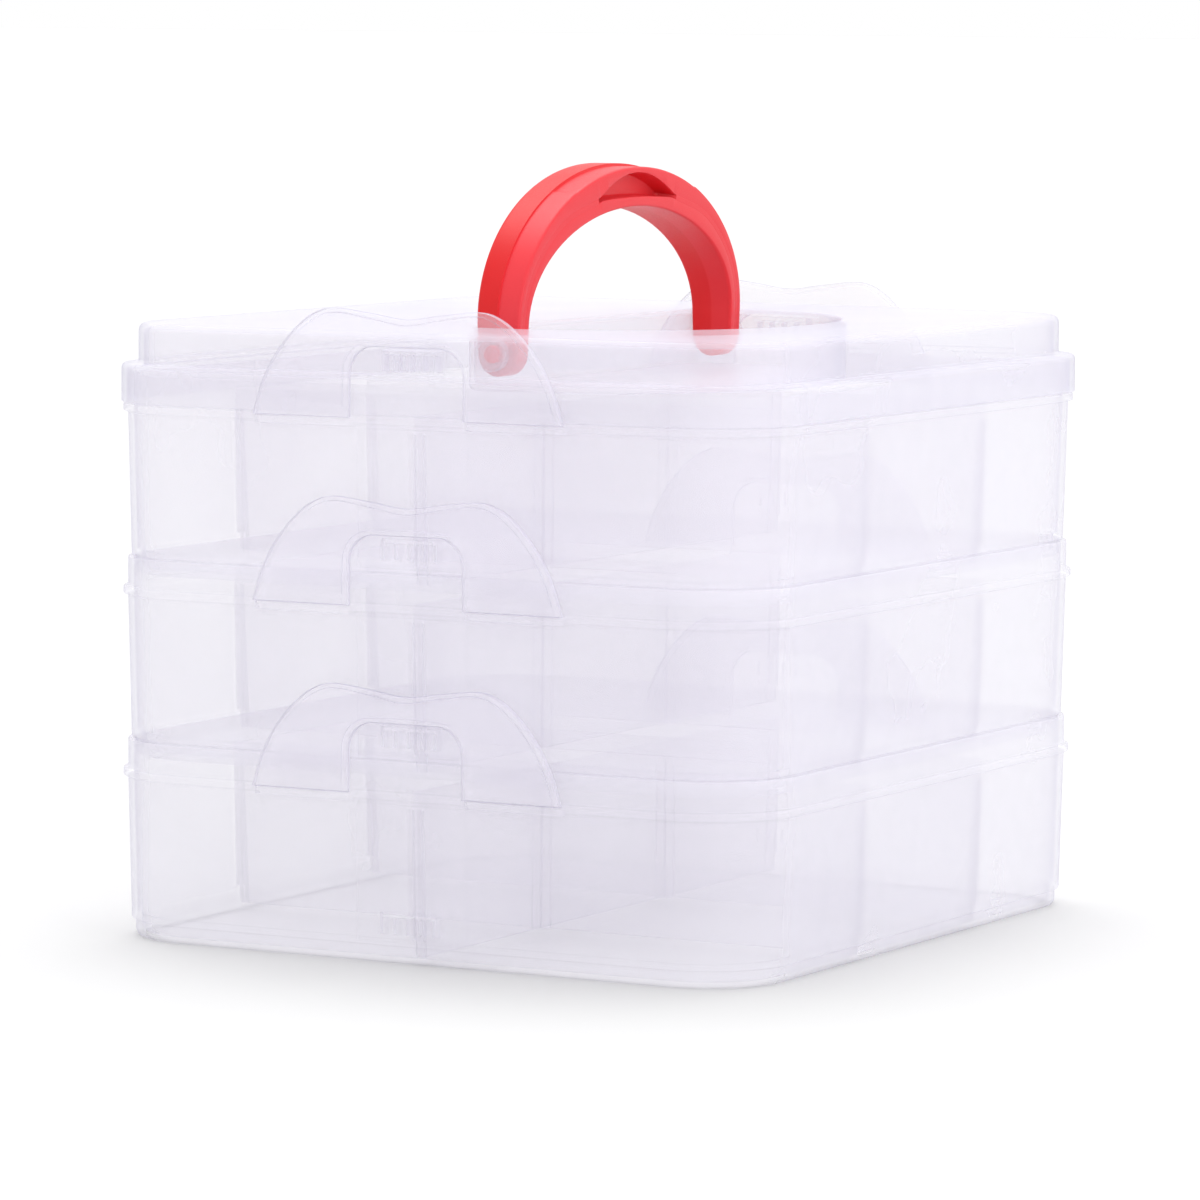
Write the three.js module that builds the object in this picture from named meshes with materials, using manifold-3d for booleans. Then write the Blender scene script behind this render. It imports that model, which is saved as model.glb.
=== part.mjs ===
// Stacking art supply box in clear plastic: three trays, a lid with a folding
// handle, and a pair of flap latches on every tray. Each tray holds removable
// dividers. Units are millimetres, +Z is up, the front is the -Y side, and the
// origin is the centre of the box on the plane it stands on.
import * as THREE from 'three';
import Module from 'manifold-3d';
import { mergeVertices } from 'three/addons/utils/BufferGeometryUtils.js';

// Outline of the box, measured over the beads that run round every tray.
const BOX_WIDTH = 250;
const BOX_DEPTH = 265;
const BOX_CORNER_RADIUS = 33.5;
const CORNER_STEPS = 7;

// Tray section. An inset is a distance inwards from the bead outline.
const TRAY_NAMES = ['bottom', 'middle', 'top'];
const TIER_PITCH = 61;
const SKIN = 2;
const FLOOR = 1.8;
const RIM_INSET = 1.6;
const RIM_ROUND = 0.5;
const WALL_DRAFT = 1.2;
const FOOT_HEIGHT = 6;
const FOOT_ROUND = 3;
const FLOOR_ROUND = 2.4;
const BEAD_HEIGHT = 2.8;
const BEAD_BELOW_RIM = 11.2;
const BEAD_ROUND = 0.5;
const NEST_GAP = 0.6;
const REST_GAP = 0.3;

// Lid: a skirt that covers the top rim, and a raised middle.
const LID_SKIN = 1.8;
const SKIRT_GAP = 0.4;
const SKIRT_HEIGHT = 13.1;
const PLATEAU_INSET = 5.1;
const PLATEAU_HEIGHT = 13.3;
const LID_ROUND = 2.4;

// Handle: a tapered strap bent into an arch, with a recess in both sides. Its
// pivots lie a little to the right of the middle of the lid.
const PIVOT_X = 2;
const HANDLE_SPAN = 159;
const HANDLE_RISE = 61;
const HANDLE_LEG_STRAIGHT = 9;
const HANDLE_LEG_DEPTH = 8;
const HANDLE_CROWN_DEPTH = 14.4;
const HANDLE_FOOT_WIDTH = 15;
const HANDLE_CROWN_WIDTH = 19;
const HANDLE_FLANGE = 3;
const HANDLE_WEB = 5;
const HANDLE_STEP = 0.6;
const HANDLE_PROUD = 0.9;
const HANDLE_RECESS_SPAN = 56;
const HANDLE_RECESS_HEIGHT = 9.2;
const HANDLE_RECESS_CAMBER = 1.2;
const HANDLE_RECESS_STEPS = 14;
const HANDLE_STEPS = 28;
const PIN_DIAMETER = 6;
const PIN_LENGTH = 4;
const PIN_CLEARANCE = 0.3;
const PIN_STEPS = 16;

// Pocket in the lid that the handle folds into.
const POCKET_GAP = 1;
const POCKET_SIDE_GAP = 1.5;
const POCKET_FINGER_ROOM = 14;
const POCKET_STEPS = 16;
const BOSS_WALL = 2.4;

// Latch: a wavy flap on two legs with an arched window between them.
const LATCH_GAP = 0.5;
const LATCH_SKIN = 1.8;
const LATCH_RIDGE = 0.9;
const LATCH_RIDGE_WIDTH = 1.9;
const LATCH_STRIP_HEIGHT = 4;
const LATCH_HALF_OUTLINE = [
  [57.5, 0], [54, 10.5], [48.8, 20], [41.5, 28.4], [34.5, 33.4], [27, 35.3], [13.5, 33.9], [0, 32.2],
];
const LATCH_STEPS = 36;
const WINDOW_WIDTH = 43;
const WINDOW_HEIGHT = 23.2;
const WINDOW_RADIUS = 9.5;
const WINDOW_STEPS = 5;
const RAIL_HEIGHT = 2.7;
const RAIL_REACH = 2.1;

// Lug that the latch window closes over, on the piece above.
const LUG_WIDTH = 21;
const LUG_HEIGHT = 7;
const LUG_Z = 10.4;
const LUG_RIBS = 5;
const LUG_RIB_WIDTH = 1.5;
const LUG_BAR_HEIGHT = 1.6;
const PAD_WIDTH = 41;
const PAD_PROUD = 0.5;
const PAD_EDGE = 1.5;

// Dividers: two long ones along X, and a short one across each row. Headroom is
// the space above a piece, up to the underside of the tray above.
const DIVIDER_SKIN = 1.6;
const DIVIDER_GAP = 0.3;
const LONG_DIVIDER_Y = 44;
const LONG_DIVIDER_HEADROOM = 3;
const SHORT_DIVIDER_HEADROOM = 4;
const SLOT_RIB_SKIN = 1.4;
const SLOT_RIB_REACH = 2.2;
const SLOT_RIB_HEADROOM = 10;
const SLOT_BITE = 1;

// Sizes that follow from the ones above.
const RIM_TOP = TIER_PITCH + FOOT_HEIGHT - REST_GAP;
const BEAD_Z = RIM_TOP - BEAD_BELOW_RIM;
const BEAD_TOP = BEAD_Z + BEAD_HEIGHT / 2;
const BEAD_BOTTOM = BEAD_Z - BEAD_HEIGHT / 2;
const WALL_INSET = RIM_INSET + WALL_DRAFT;
const FOOT_INSET = RIM_INSET + SKIN + NEST_GAP;
const SHELF_TOP = FOOT_HEIGHT + SKIN;
const LONG_DIVIDER_TOP = TIER_PITCH - LONG_DIVIDER_HEADROOM;
const SHORT_DIVIDER_TOP = TIER_PITCH - SHORT_DIVIDER_HEADROOM;
const SLOT_RIB_TOP = TIER_PITCH - SLOT_RIB_HEADROOM;
const LID_Z = TRAY_NAMES.length * TIER_PITCH;
const SKIRT_BOTTOM = LID_Z - TIER_PITCH + BEAD_TOP + REST_GAP;
const SKIRT_TOP = SKIRT_BOTTOM + SKIRT_HEIGHT;
const SKIRT_INNER = RIM_INSET - SKIRT_GAP;
const SKIRT_OUTER = SKIRT_INNER - LID_SKIN;
const LID_TOP = SKIRT_TOP + PLATEAU_HEIGHT;
const PIVOT_Z = LID_TOP + HANDLE_PROUD - HANDLE_CROWN_WIDTH / 2;
const POCKET_FLOOR = PIVOT_Z - HANDLE_CROWN_WIDTH / 2 - POCKET_GAP;
const POCKET_HALF_SPAN = HANDLE_SPAN / 2 + POCKET_SIDE_GAP;
const LATCH_FACE = BOX_DEPTH / 2 - SKIRT_OUTER + LATCH_GAP;
const LATCH_Z = BEAD_TOP - 2 * REST_GAP;

// Plastics.
const CLEAR_TRAY = new THREE.MeshStandardMaterial({ name: 'clear_tray_plastic', color: 0xe9e6f3, roughness: 0.35 });
const CLEAR_LID = new THREE.MeshStandardMaterial({ name: 'clear_lid_plastic', color: 0xf1eef9, roughness: 0.35 });
const CLEAR_LATCH = new THREE.MeshStandardMaterial({ name: 'clear_latch_plastic', color: 0xe4e1ef, roughness: 0.3 });
const CLEAR_SHEET = new THREE.MeshStandardMaterial({ name: 'clear_divider_plastic', color: 0xdedaea, roughness: 0.4 });
const RED = new THREE.MeshStandardMaterial({ name: 'red_handle_plastic', color: 0xed3a3a, roughness: 0.45 });

const wasm = await Module();
wasm.setup();

// Closed three.js geometry to a solid that can be joined and cut.
function solid(geometry) {
  const plain = geometry.clone();
  plain.deleteAttribute('normal');
  plain.deleteAttribute('uv');
  const welded = mergeVertices(plain, 1e-5);
  return new wasm.Manifold(new wasm.Mesh({
    numProp: 3,
    vertProperties: new Float32Array(welded.attributes.position.array),
    triVerts: new Uint32Array(welded.index.array),
  }));
}

function join(solids) {
  return solids.reduce((sum, one) => sum.add(one));
}

// Solid back to a named three.js mesh.
function named(name, body, material) {
  const { vertProperties, triVerts } = body.getMesh();
  const geometry = new THREE.BufferGeometry();
  geometry.setAttribute('position', new THREE.BufferAttribute(new Float32Array(vertProperties), 3));
  geometry.setIndex(new THREE.BufferAttribute(new Uint32Array(triVerts), 1));
  geometry.computeVertexNormals();
  const mesh = new THREE.Mesh(geometry, material);
  mesh.name = name;
  return mesh;
}

function box(width, depth, height, x, y, z) {
  return solid(new THREE.BoxGeometry(width, depth, height)).translate([x, y, z]);
}

// Outline drawn in X and Z, made thick along Y and centred on y = 0.
function plateXZ(shape, thickness, curveSegments = 8) {
  const settings = { depth: thickness, bevelEnabled: false, curveSegments };
  const geometry = new THREE.ExtrudeGeometry(shape, settings);
  geometry.translate(0, 0, -thickness / 2);
  geometry.rotateX(Math.PI / 2);
  return solid(geometry);
}

// Outline drawn in Y and Z, made thick along X and centred on x = 0.
function plateYZ(shape, thickness, curveSegments = 8) {
  return plateXZ(shape, thickness, curveSegments).rotate([0, 0, 90]);
}

function outline(points) {
  return new THREE.Shape(points.map(([x, y]) => new THREE.Vector2(x, y)));
}

// Rounded rectangle set in from the bead outline, as points at one height.
function ring(inset, z) {
  const radius = BOX_CORNER_RADIUS - inset;
  const centreX = BOX_WIDTH / 2 - BOX_CORNER_RADIUS;
  const centreY = BOX_DEPTH / 2 - BOX_CORNER_RADIUS;
  const corners = [[1, 1, 0], [-1, 1, 90], [-1, -1, 180], [1, -1, 270]];
  return corners.flatMap(([sideX, sideY, start]) => {
    return Array.from({ length: CORNER_STEPS + 1 }, (_, step) => {
      const angle = THREE.MathUtils.degToRad(start + 90 * step / CORNER_STEPS);
      const x = sideX * centreX + radius * Math.cos(angle);
      const y = sideY * centreY + radius * Math.sin(angle);
      return [x, y, z];
    });
  });
}

// Section carried round the box. The section starts at the middle of the
// lower face, runs outwards and up the outside, and comes back inside.
function shell(section) {
  const rings = section.map(([inset, z]) => ring(inset, z));
  const count = rings[0].length;
  const last = rings.length - 1;
  const points = rings.flat();
  const firstCentre = points.push([0, 0, section[0][1]]) - 1;
  const lastCentre = points.push([0, 0, section[last][1]]) - 1;
  const faces = [];
  for (let i = 0; i < count; i += 1) {
    const next = (i + 1) % count;
    faces.push([firstCentre, next, i]);
    faces.push([lastCentre, last * count + i, last * count + next]);
    for (let level = 0; level < last; level += 1) {
      const low = level * count;
      const high = low + count;
      faces.push([low + i, low + next, high + next]);
      faces.push([low + i, high + next, high + i]);
    }
  }
  const geometry = new THREE.BufferGeometry();
  geometry.setAttribute('position', new THREE.Float32BufferAttribute(points.flat(), 3));
  geometry.setIndex(faces.flat());
  return solid(geometry);
}

// Section of a tray from the middle of its underside to the middle of its floor.
function traySection() {
  const round = 0.3 * FOOT_ROUND;
  return [
    [FOOT_INSET + FOOT_ROUND, 0],
    [FOOT_INSET + round, round],
    [FOOT_INSET, FOOT_ROUND],
    [FOOT_INSET, FOOT_HEIGHT],
    [WALL_INSET + BEAD_ROUND, FOOT_HEIGHT],
    [WALL_INSET, FOOT_HEIGHT + BEAD_ROUND],
    [RIM_INSET, BEAD_BOTTOM],
    [BEAD_ROUND, BEAD_BOTTOM],
    [0, BEAD_BOTTOM + BEAD_ROUND],
    [0, BEAD_TOP - BEAD_ROUND],
    [BEAD_ROUND, BEAD_TOP],
    [RIM_INSET, BEAD_TOP],
    [RIM_INSET, RIM_TOP - RIM_ROUND],
    [RIM_INSET + RIM_ROUND, RIM_TOP],
    [RIM_INSET + SKIN - RIM_ROUND, RIM_TOP],
    [RIM_INSET + SKIN, RIM_TOP - RIM_ROUND],
    [RIM_INSET + SKIN, BEAD_BOTTOM],
    [WALL_INSET + SKIN, SHELF_TOP],
    [FOOT_INSET + SKIN, SHELF_TOP],
    [FOOT_INSET + SKIN, FLOOR + FLOOR_ROUND],
    [FOOT_INSET + SKIN + 0.3 * FLOOR_ROUND, FLOOR + 0.3 * FLOOR_ROUND],
    [FOOT_INSET + SKIN + FLOOR_ROUND, FLOOR],
  ];
}

// Section of the lid from the middle of its underside to the middle of its top.
function lidSection() {
  const round = 0.3 * LID_ROUND;
  const innerWall = PLATEAU_INSET + LID_SKIN;
  const innerTop = LID_TOP - LID_SKIN;
  const innerRound = LID_ROUND / 2;
  return [
    [innerWall + innerRound, innerTop],
    [innerWall, innerTop - innerRound],
    [innerWall, SKIRT_TOP - LID_SKIN],
    [SKIRT_INNER, SKIRT_TOP - LID_SKIN],
    [SKIRT_INNER, SKIRT_BOTTOM],
    [SKIRT_OUTER, SKIRT_BOTTOM],
    [SKIRT_OUTER, SKIRT_TOP - LID_ROUND / 2],
    [SKIRT_OUTER + round / 2, SKIRT_TOP - round / 2],
    [SKIRT_OUTER + LID_ROUND / 2, SKIRT_TOP],
    [PLATEAU_INSET - round, SKIRT_TOP],
    [PLATEAU_INSET, SKIRT_TOP + round],
    [PLATEAU_INSET, LID_TOP - LID_ROUND],
    [PLATEAU_INSET + round, LID_TOP - round],
    [PLATEAU_INSET + LID_ROUND, LID_TOP],
  ];
}

// Small rib that stands on the inside of a wall, with its back in the wall.
// The points are distances from the box centre plane and heights.
function slotRib(halfSize) {
  const reach = SKIN + SLOT_RIB_REACH;
  return outline([
    [halfSize - FOOT_INSET - SLOT_BITE, SLOT_BITE],
    [halfSize - FOOT_INSET - SLOT_BITE, FOOT_HEIGHT + SLOT_BITE],
    [halfSize - WALL_INSET - SLOT_BITE, FOOT_HEIGHT + SLOT_BITE],
    [halfSize - RIM_INSET - SLOT_BITE, SLOT_RIB_TOP],
    [halfSize - RIM_INSET - reach, SLOT_RIB_TOP],
    [halfSize - FOOT_INSET - reach, SLOT_BITE],
  ]);
}

// Pairs of ribs that hold the ends of the dividers.
function slotRibs() {
  const shift = DIVIDER_SKIN / 2 + DIVIDER_GAP + SLOT_RIB_SKIN / 2;
  const sideRib = plateXZ(slotRib(BOX_WIDTH / 2), SLOT_RIB_SKIN);
  const endRib = plateYZ(slotRib(BOX_DEPTH / 2), SLOT_RIB_SKIN);
  const ribs = [];
  for (const turn of [0, 180]) {
    for (const side of [-1, 1]) {
      for (const y of [-LONG_DIVIDER_Y, LONG_DIVIDER_Y]) {
        ribs.push(sideRib.translate([0, y + side * shift, 0]).rotate([0, 0, turn]));
      }
      ribs.push(endRib.translate([side * shift, 0, 0]).rotate([0, 0, turn]));
    }
  }
  return ribs;
}

// Ribbed lug on the front, from the given inset out to the skirt face.
function lug(inset) {
  const reach = inset - SKIRT_OUTER;
  const y = -(BOX_DEPTH / 2 - SKIRT_OUTER - reach / 2);
  const spacing = (LUG_WIDTH - LUG_RIB_WIDTH) / (LUG_RIBS - 1);
  const bar = box(LUG_WIDTH, reach, LUG_BAR_HEIGHT, 0, y, LUG_Z + LUG_HEIGHT - LUG_BAR_HEIGHT / 2);
  const ribs = Array.from({ length: LUG_RIBS }, (_, i) => {
    const x = (i - (LUG_RIBS - 1) / 2) * spacing;
    return box(LUG_RIB_WIDTH, reach, LUG_HEIGHT, x, y, LUG_Z + LUG_HEIGHT / 2);
  });
  return join([bar, ...ribs]);
}

// Flat pad on the outside of the front wall, leaning with the wall.
function pad() {
  const front = -BOX_DEPTH / 2;
  const low = FOOT_HEIGHT + PAD_EDGE;
  const high = BEAD_BOTTOM - PAD_EDGE;
  return plateYZ(outline([
    [front + WALL_INSET + SLOT_BITE, low],
    [front + WALL_INSET - PAD_PROUD, low],
    [front + RIM_INSET - PAD_PROUD, high],
    [front + RIM_INSET + SLOT_BITE, high],
  ]), PAD_WIDTH);
}

// Rails under the two legs of the front latch, standing out from the bead.
function hingeRails() {
  const outer = LATCH_HALF_OUTLINE[0][0];
  const width = outer - WINDOW_WIDTH / 2;
  const depth = RAIL_REACH + SLOT_BITE;
  const x = (outer + WINDOW_WIDTH / 2) / 2;
  const y = -(BOX_DEPTH / 2 + (RAIL_REACH - SLOT_BITE) / 2);
  const z = LATCH_Z - REST_GAP - RAIL_HEIGHT / 2;
  return join([box(width, depth, RAIL_HEIGHT, x, y, z), box(width, depth, RAIL_HEIGHT, -x, y, z)]);
}

function frontAndBack(body) {
  return [body, body.rotate([0, 0, 180])];
}

function tray() {
  const extras = [lug(WALL_INSET + SLOT_BITE), pad(), hingeRails()];
  return join([shell(traySection()), ...slotRibs(), ...extras.flatMap(frontAndBack)]);
}

// D-shaped plan of the handle pocket, grown outwards by a margin.
function pocketPlan(margin) {
  const halfSpan = POCKET_HALF_SPAN + margin;
  const back = HANDLE_FOOT_WIDTH / 2 + POCKET_SIDE_GAP + margin;
  const reach = HANDLE_RISE - HANDLE_LEG_STRAIGHT + POCKET_FINGER_ROOM + margin;
  const plan = new THREE.Shape();
  plan.moveTo(-back, -halfSpan);
  plan.lineTo(HANDLE_LEG_STRAIGHT, -halfSpan);
  plan.absellipse(HANDLE_LEG_STRAIGHT, 0, reach, halfSpan, -Math.PI / 2, Math.PI / 2, false, 0);
  plan.lineTo(-back, halfSpan);
  plan.closePath();
  return plan;
}

function upright(shape, low, high) {
  const settings = { depth: high - low, bevelEnabled: false, curveSegments: POCKET_STEPS };
  return solid(new THREE.ExtrudeGeometry(shape, settings)).translate([0, 0, low]);
}

// Cylinders along Y between two distances from the centre, on both sides.
function pinPair(diameter, from, to) {
  const length = to - from;
  const one = solid(new THREE.CylinderGeometry(diameter / 2, diameter / 2, length, PIN_STEPS));
  return join([-1, 1].map((side) => one.translate([0, side * (from + length / 2), 0])));
}

function lid() {
  const holeDiameter = PIN_DIAMETER + 2 * PIN_CLEARANCE;
  const holeEnd = HANDLE_SPAN / 2 + PIN_LENGTH + 2 * PIN_CLEARANCE;
  const plan = upright(pocketPlan(LID_SKIN), POCKET_FLOOR - LID_SKIN, LID_TOP - LID_SKIN / 2);
  const pocketWall = plan.translate([PIVOT_X, 0, 0]);
  const bosses = pinPair(holeDiameter + 2 * BOSS_WALL, POCKET_HALF_SPAN, holeEnd + LID_SKIN);
  const lugs = frontAndBack(lug(PLATEAU_INSET + LID_SKIN / 2).translate([0, 0, LID_Z]));
  const full = join([shell(lidSection()), pocketWall, bosses.translate([PIVOT_X, 0, PIVOT_Z]), ...lugs]);
  const pocket = upright(pocketPlan(0), POCKET_FLOOR, LID_TOP + LID_SKIN).translate([PIVOT_X, 0, 0]);
  const holes = pinPair(holeDiameter, HANDLE_SPAN / 2, holeEnd);
  return full.subtract(pocket).subtract(holes.translate([PIVOT_X, 0, PIVOT_Z]));
}

// Upper half of an ellipse as points, from its right end to its left end.
function arc(halfWidth, height) {
  return Array.from({ length: HANDLE_STEPS + 1 }, (_, step) => {
    const angle = Math.PI * step / HANDLE_STEPS;
    return [halfWidth * Math.cos(angle), HANDLE_LEG_STRAIGHT + height * Math.sin(angle)];
  });
}

// Side view of the handle above its pivot, trimmed on the outside.
function archOutline(trim) {
  const halfSpan = HANDLE_SPAN / 2 - trim;
  const height = HANDLE_RISE - HANDLE_LEG_STRAIGHT - trim;
  const innerHalf = HANDLE_SPAN / 2 - HANDLE_LEG_DEPTH;
  const innerHeight = HANDLE_RISE - HANDLE_LEG_STRAIGHT - HANDLE_CROWN_DEPTH;
  const foot = -HANDLE_FOOT_WIDTH;
  return outline([
    [halfSpan, foot],
    ...arc(halfSpan, height),
    [-halfSpan, foot],
    [-innerHalf, foot],
    ...arc(innerHalf, innerHeight).reverse(),
    [innerHalf, foot],
  ]);
}

// Lens under the outer flange: two shallow arches that meet in points.
function recessOutline() {
  const half = HANDLE_RECESS_SPAN / 2;
  const top = HANDLE_RISE - HANDLE_FLANGE;
  const arch = (crown, camber) => Array.from({ length: HANDLE_RECESS_STEPS + 1 }, (_, step) => {
    const share = 1 - 2 * step / HANDLE_RECESS_STEPS;
    return [half * share, crown - camber * share * share];
  });
  const upper = arch(top, HANDLE_RECESS_HEIGHT);
  const lower = arch(top - HANDLE_RECESS_HEIGHT + HANDLE_RECESS_CAMBER, HANDLE_RECESS_CAMBER);
  return outline([...upper, ...lower.slice(1, -1).reverse()]);
}

// Front view of the strap: round at the pivot and widest at the crown.
function taperOutline() {
  const foot = HANDLE_FOOT_WIDTH / 2;
  const crown = HANDLE_CROWN_WIDTH / 2;
  const shape = new THREE.Shape();
  shape.moveTo(crown, HANDLE_RISE + 1);
  shape.lineTo(-crown, HANDLE_RISE + 1);
  shape.lineTo(-foot, 0);
  shape.absarc(0, 0, foot, Math.PI, 2 * Math.PI, false);
  shape.closePath();
  return shape;
}

// Handle with its pivot pins, drawn with the pivot axis along Y at the origin.
function handle() {
  const half = HANDLE_CROWN_WIDTH / 2;
  const right = plateYZ(archOutline(HANDLE_STEP), half).translate([half / 2, 0, 0]);
  const left = plateYZ(archOutline(0), half).translate([-half / 2, 0, 0]);
  const taper = plateXZ(taperOutline(), HANDLE_SPAN + 2, POCKET_STEPS);
  const recess = plateYZ(recessOutline(), half);
  const recessShift = (half + HANDLE_WEB) / 2;
  const recesses = [-1, 1].map((side) => recess.translate([side * recessShift, 0, 0]));
  const strap = join([right, left]).intersect(taper).subtract(join(recesses));
  const pinStart = HANDLE_SPAN / 2 - HANDLE_LEG_DEPTH / 2;
  return strap.add(pinPair(PIN_DIAMETER, pinStart, HANDLE_SPAN / 2 + PIN_LENGTH));
}

// Wavy outline of the flap above its feet, as a closed list of points.
function flapOutline() {
  const right = LATCH_HALF_OUTLINE.map(([x, z]) => new THREE.Vector2(x, z));
  const left = right.slice(0, -1).reverse().map((point) => new THREE.Vector2(-point.x, point.y));
  return new THREE.SplineCurve([...right, ...left]).getPoints(LATCH_STEPS);
}

// The flap outline moved inwards by a distance, square to the line.
function insetOutline(points, distance) {
  return points.map((point, i) => {
    const before = points[Math.max(i - 1, 0)];
    const after = points[Math.min(i + 1, points.length - 1)];
    const along = after.clone().sub(before).normalize();
    return new THREE.Vector2(point.x - along.y * distance, point.y + along.x * distance);
  });
}

// Arched window between the legs, grown by a margin, open at the bottom.
function windowPoints(margin) {
  const half = WINDOW_WIDTH / 2 + margin;
  const top = WINDOW_HEIGHT + margin;
  const radius = WINDOW_RADIUS + margin;
  const quarter = Array.from({ length: WINDOW_STEPS + 1 }, (_, step) => {
    const angle = Math.PI / 2 * step / WINDOW_STEPS;
    const x = half - radius + radius * Math.cos(angle);
    return new THREE.Vector2(x, top - radius + radius * Math.sin(angle));
  });
  const mirrored = [...quarter].reverse().map((point) => new THREE.Vector2(-point.x, point.y));
  return [...quarter, ...mirrored];
}

// Flap shape from its outline and the two sides of its window.
function flapShape(outer, foot, margin) {
  const half = WINDOW_WIDTH / 2 + margin;
  const window = windowPoints(margin).reverse();
  const base = [new THREE.Vector2(-half, foot), ...window, new THREE.Vector2(half, foot)];
  return new THREE.Shape([...outer, ...base]);
}

// Front latch: a plate with a raised ridge along its edges and a foot strip.
function latch() {
  const outer = flapOutline();
  const inner = insetOutline(outer, LATCH_RIDGE_WIDTH);
  const plate = plateXZ(flapShape(outer, 0, 0), LATCH_SKIN);
  const plateY = -(LATCH_FACE + LATCH_SKIN / 2);
  const bite = LATCH_SKIN / 2;
  const raised = plateXZ(flapShape(outer, 0, 0), LATCH_RIDGE + bite);
  const hollow = plateXZ(flapShape(inner, inner[0].y, LATCH_RIDGE_WIDTH), 2 * LATCH_SKIN);
  const span = 2 * LATCH_HALF_OUTLINE[0][0];
  const aboveStrip = box(span, 3 * LATCH_SKIN, 2 * WINDOW_HEIGHT, 0, 0, LATCH_STRIP_HEIGHT + WINDOW_HEIGHT);
  const ridge = raised.subtract(hollow.intersect(aboveStrip));
  const ridgeY = -(LATCH_FACE + LATCH_SKIN + (LATCH_RIDGE - bite) / 2);
  return join([plate.translate([0, plateY, LATCH_Z]), ridge.translate([0, ridgeY, LATCH_Z])]);
}

// Edge of a divider that follows the inside of a wall, from the floor up.
function dividerEdge(halfSize, top) {
  const foot = halfSize - FOOT_INSET - SKIN - DIVIDER_GAP;
  const low = FLOOR + DIVIDER_GAP;
  return [
    [foot - FLOOR_ROUND, low],
    [foot, low + FLOOR_ROUND],
    [foot, SHELF_TOP + DIVIDER_GAP],
    [halfSize - WALL_INSET - SKIN - DIVIDER_GAP, SHELF_TOP + DIVIDER_GAP],
    [halfSize - RIM_INSET - SKIN - DIVIDER_GAP, BEAD_BOTTOM],
    [halfSize - RIM_INSET - SKIN - DIVIDER_GAP, top],
  ];
}

// Long divider at y = 0 with the ribs that hold the short ones.
function longDivider() {
  const right = dividerEdge(BOX_WIDTH / 2, LONG_DIVIDER_TOP);
  const left = [...right].reverse().map(([x, z]) => [-x, z]);
  const plate = plateXZ(outline([...right, ...left]), DIVIDER_SKIN);
  const low = FLOOR + DIVIDER_GAP;
  const height = SLOT_RIB_TOP - low;
  const depth = DIVIDER_SKIN + 2 * SLOT_RIB_REACH;
  const shift = DIVIDER_SKIN / 2 + DIVIDER_GAP + SLOT_RIB_SKIN / 2;
  const ribs = [-shift, shift].map((x) => box(SLOT_RIB_SKIN, depth, height, x, 0, low + height / 2));
  return join([plate, ...ribs]);
}

// Short divider of the front row: from the long divider to the front wall.
function endDivider() {
  const start = -(LONG_DIVIDER_Y + DIVIDER_SKIN / 2 + DIVIDER_GAP);
  const wall = dividerEdge(BOX_DEPTH / 2, SHORT_DIVIDER_TOP).map(([y, z]) => [-y, z]);
  const low = FLOOR + DIVIDER_GAP;
  return plateYZ(outline([...wall, [start, SHORT_DIVIDER_TOP], [start, low]]), DIVIDER_SKIN);
}

// Short divider of the middle row, between the long ones.
function middleDivider() {
  const length = 2 * (LONG_DIVIDER_Y - DIVIDER_SKIN / 2 - DIVIDER_GAP);
  const low = FLOOR + DIVIDER_GAP;
  const height = SHORT_DIVIDER_TOP - low;
  return box(DIVIDER_SKIN, length, height, 0, 0, low + height / 2);
}

// Adds a named mesh to a group, moved and turned about +Z.
function place(group, name, body, material, { x = 0, y = 0, z = 0, turn = 0 } = {}) {
  const mesh = named(name, body, material);
  mesh.position.set(x, y, z);
  mesh.rotation.z = turn;
  group.add(mesh);
}

const part = new THREE.Group();
part.name = 'art_supply_box';

TRAY_NAMES.forEach((tier, index) => {
  const stack = new THREE.Group();
  stack.position.z = index * TIER_PITCH;
  place(stack, `tray_${tier}`, tray(), CLEAR_TRAY);
  for (const [end, side] of [['front', -1], ['back', 1]]) {
    const turn = side < 0 ? 0 : Math.PI;
    place(stack, `latch_${tier}_${end}`, latch(), CLEAR_LATCH, { turn });
    place(stack, `divider_${tier}_long_${end}`, longDivider(), CLEAR_SHEET, { y: side * LONG_DIVIDER_Y });
    place(stack, `divider_${tier}_cross_${end}`, endDivider(), CLEAR_SHEET, { turn });
  }
  place(stack, `divider_${tier}_cross_middle`, middleDivider(), CLEAR_SHEET);
  part.add(stack);
});

place(part, 'lid', lid(), CLEAR_LID);
place(part, 'handle', handle(), RED, { x: PIVOT_X, z: PIVOT_Z });

export default part;
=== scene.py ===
"""Stacking art supply box: clear plastic trays, latches, dividers and lid, and a red folding handle."""

import math

import bpy
import numpy as np
from bpy.props import FloatProperty, FloatVectorProperty, PointerProperty
from mathutils import Matrix, Vector


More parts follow.
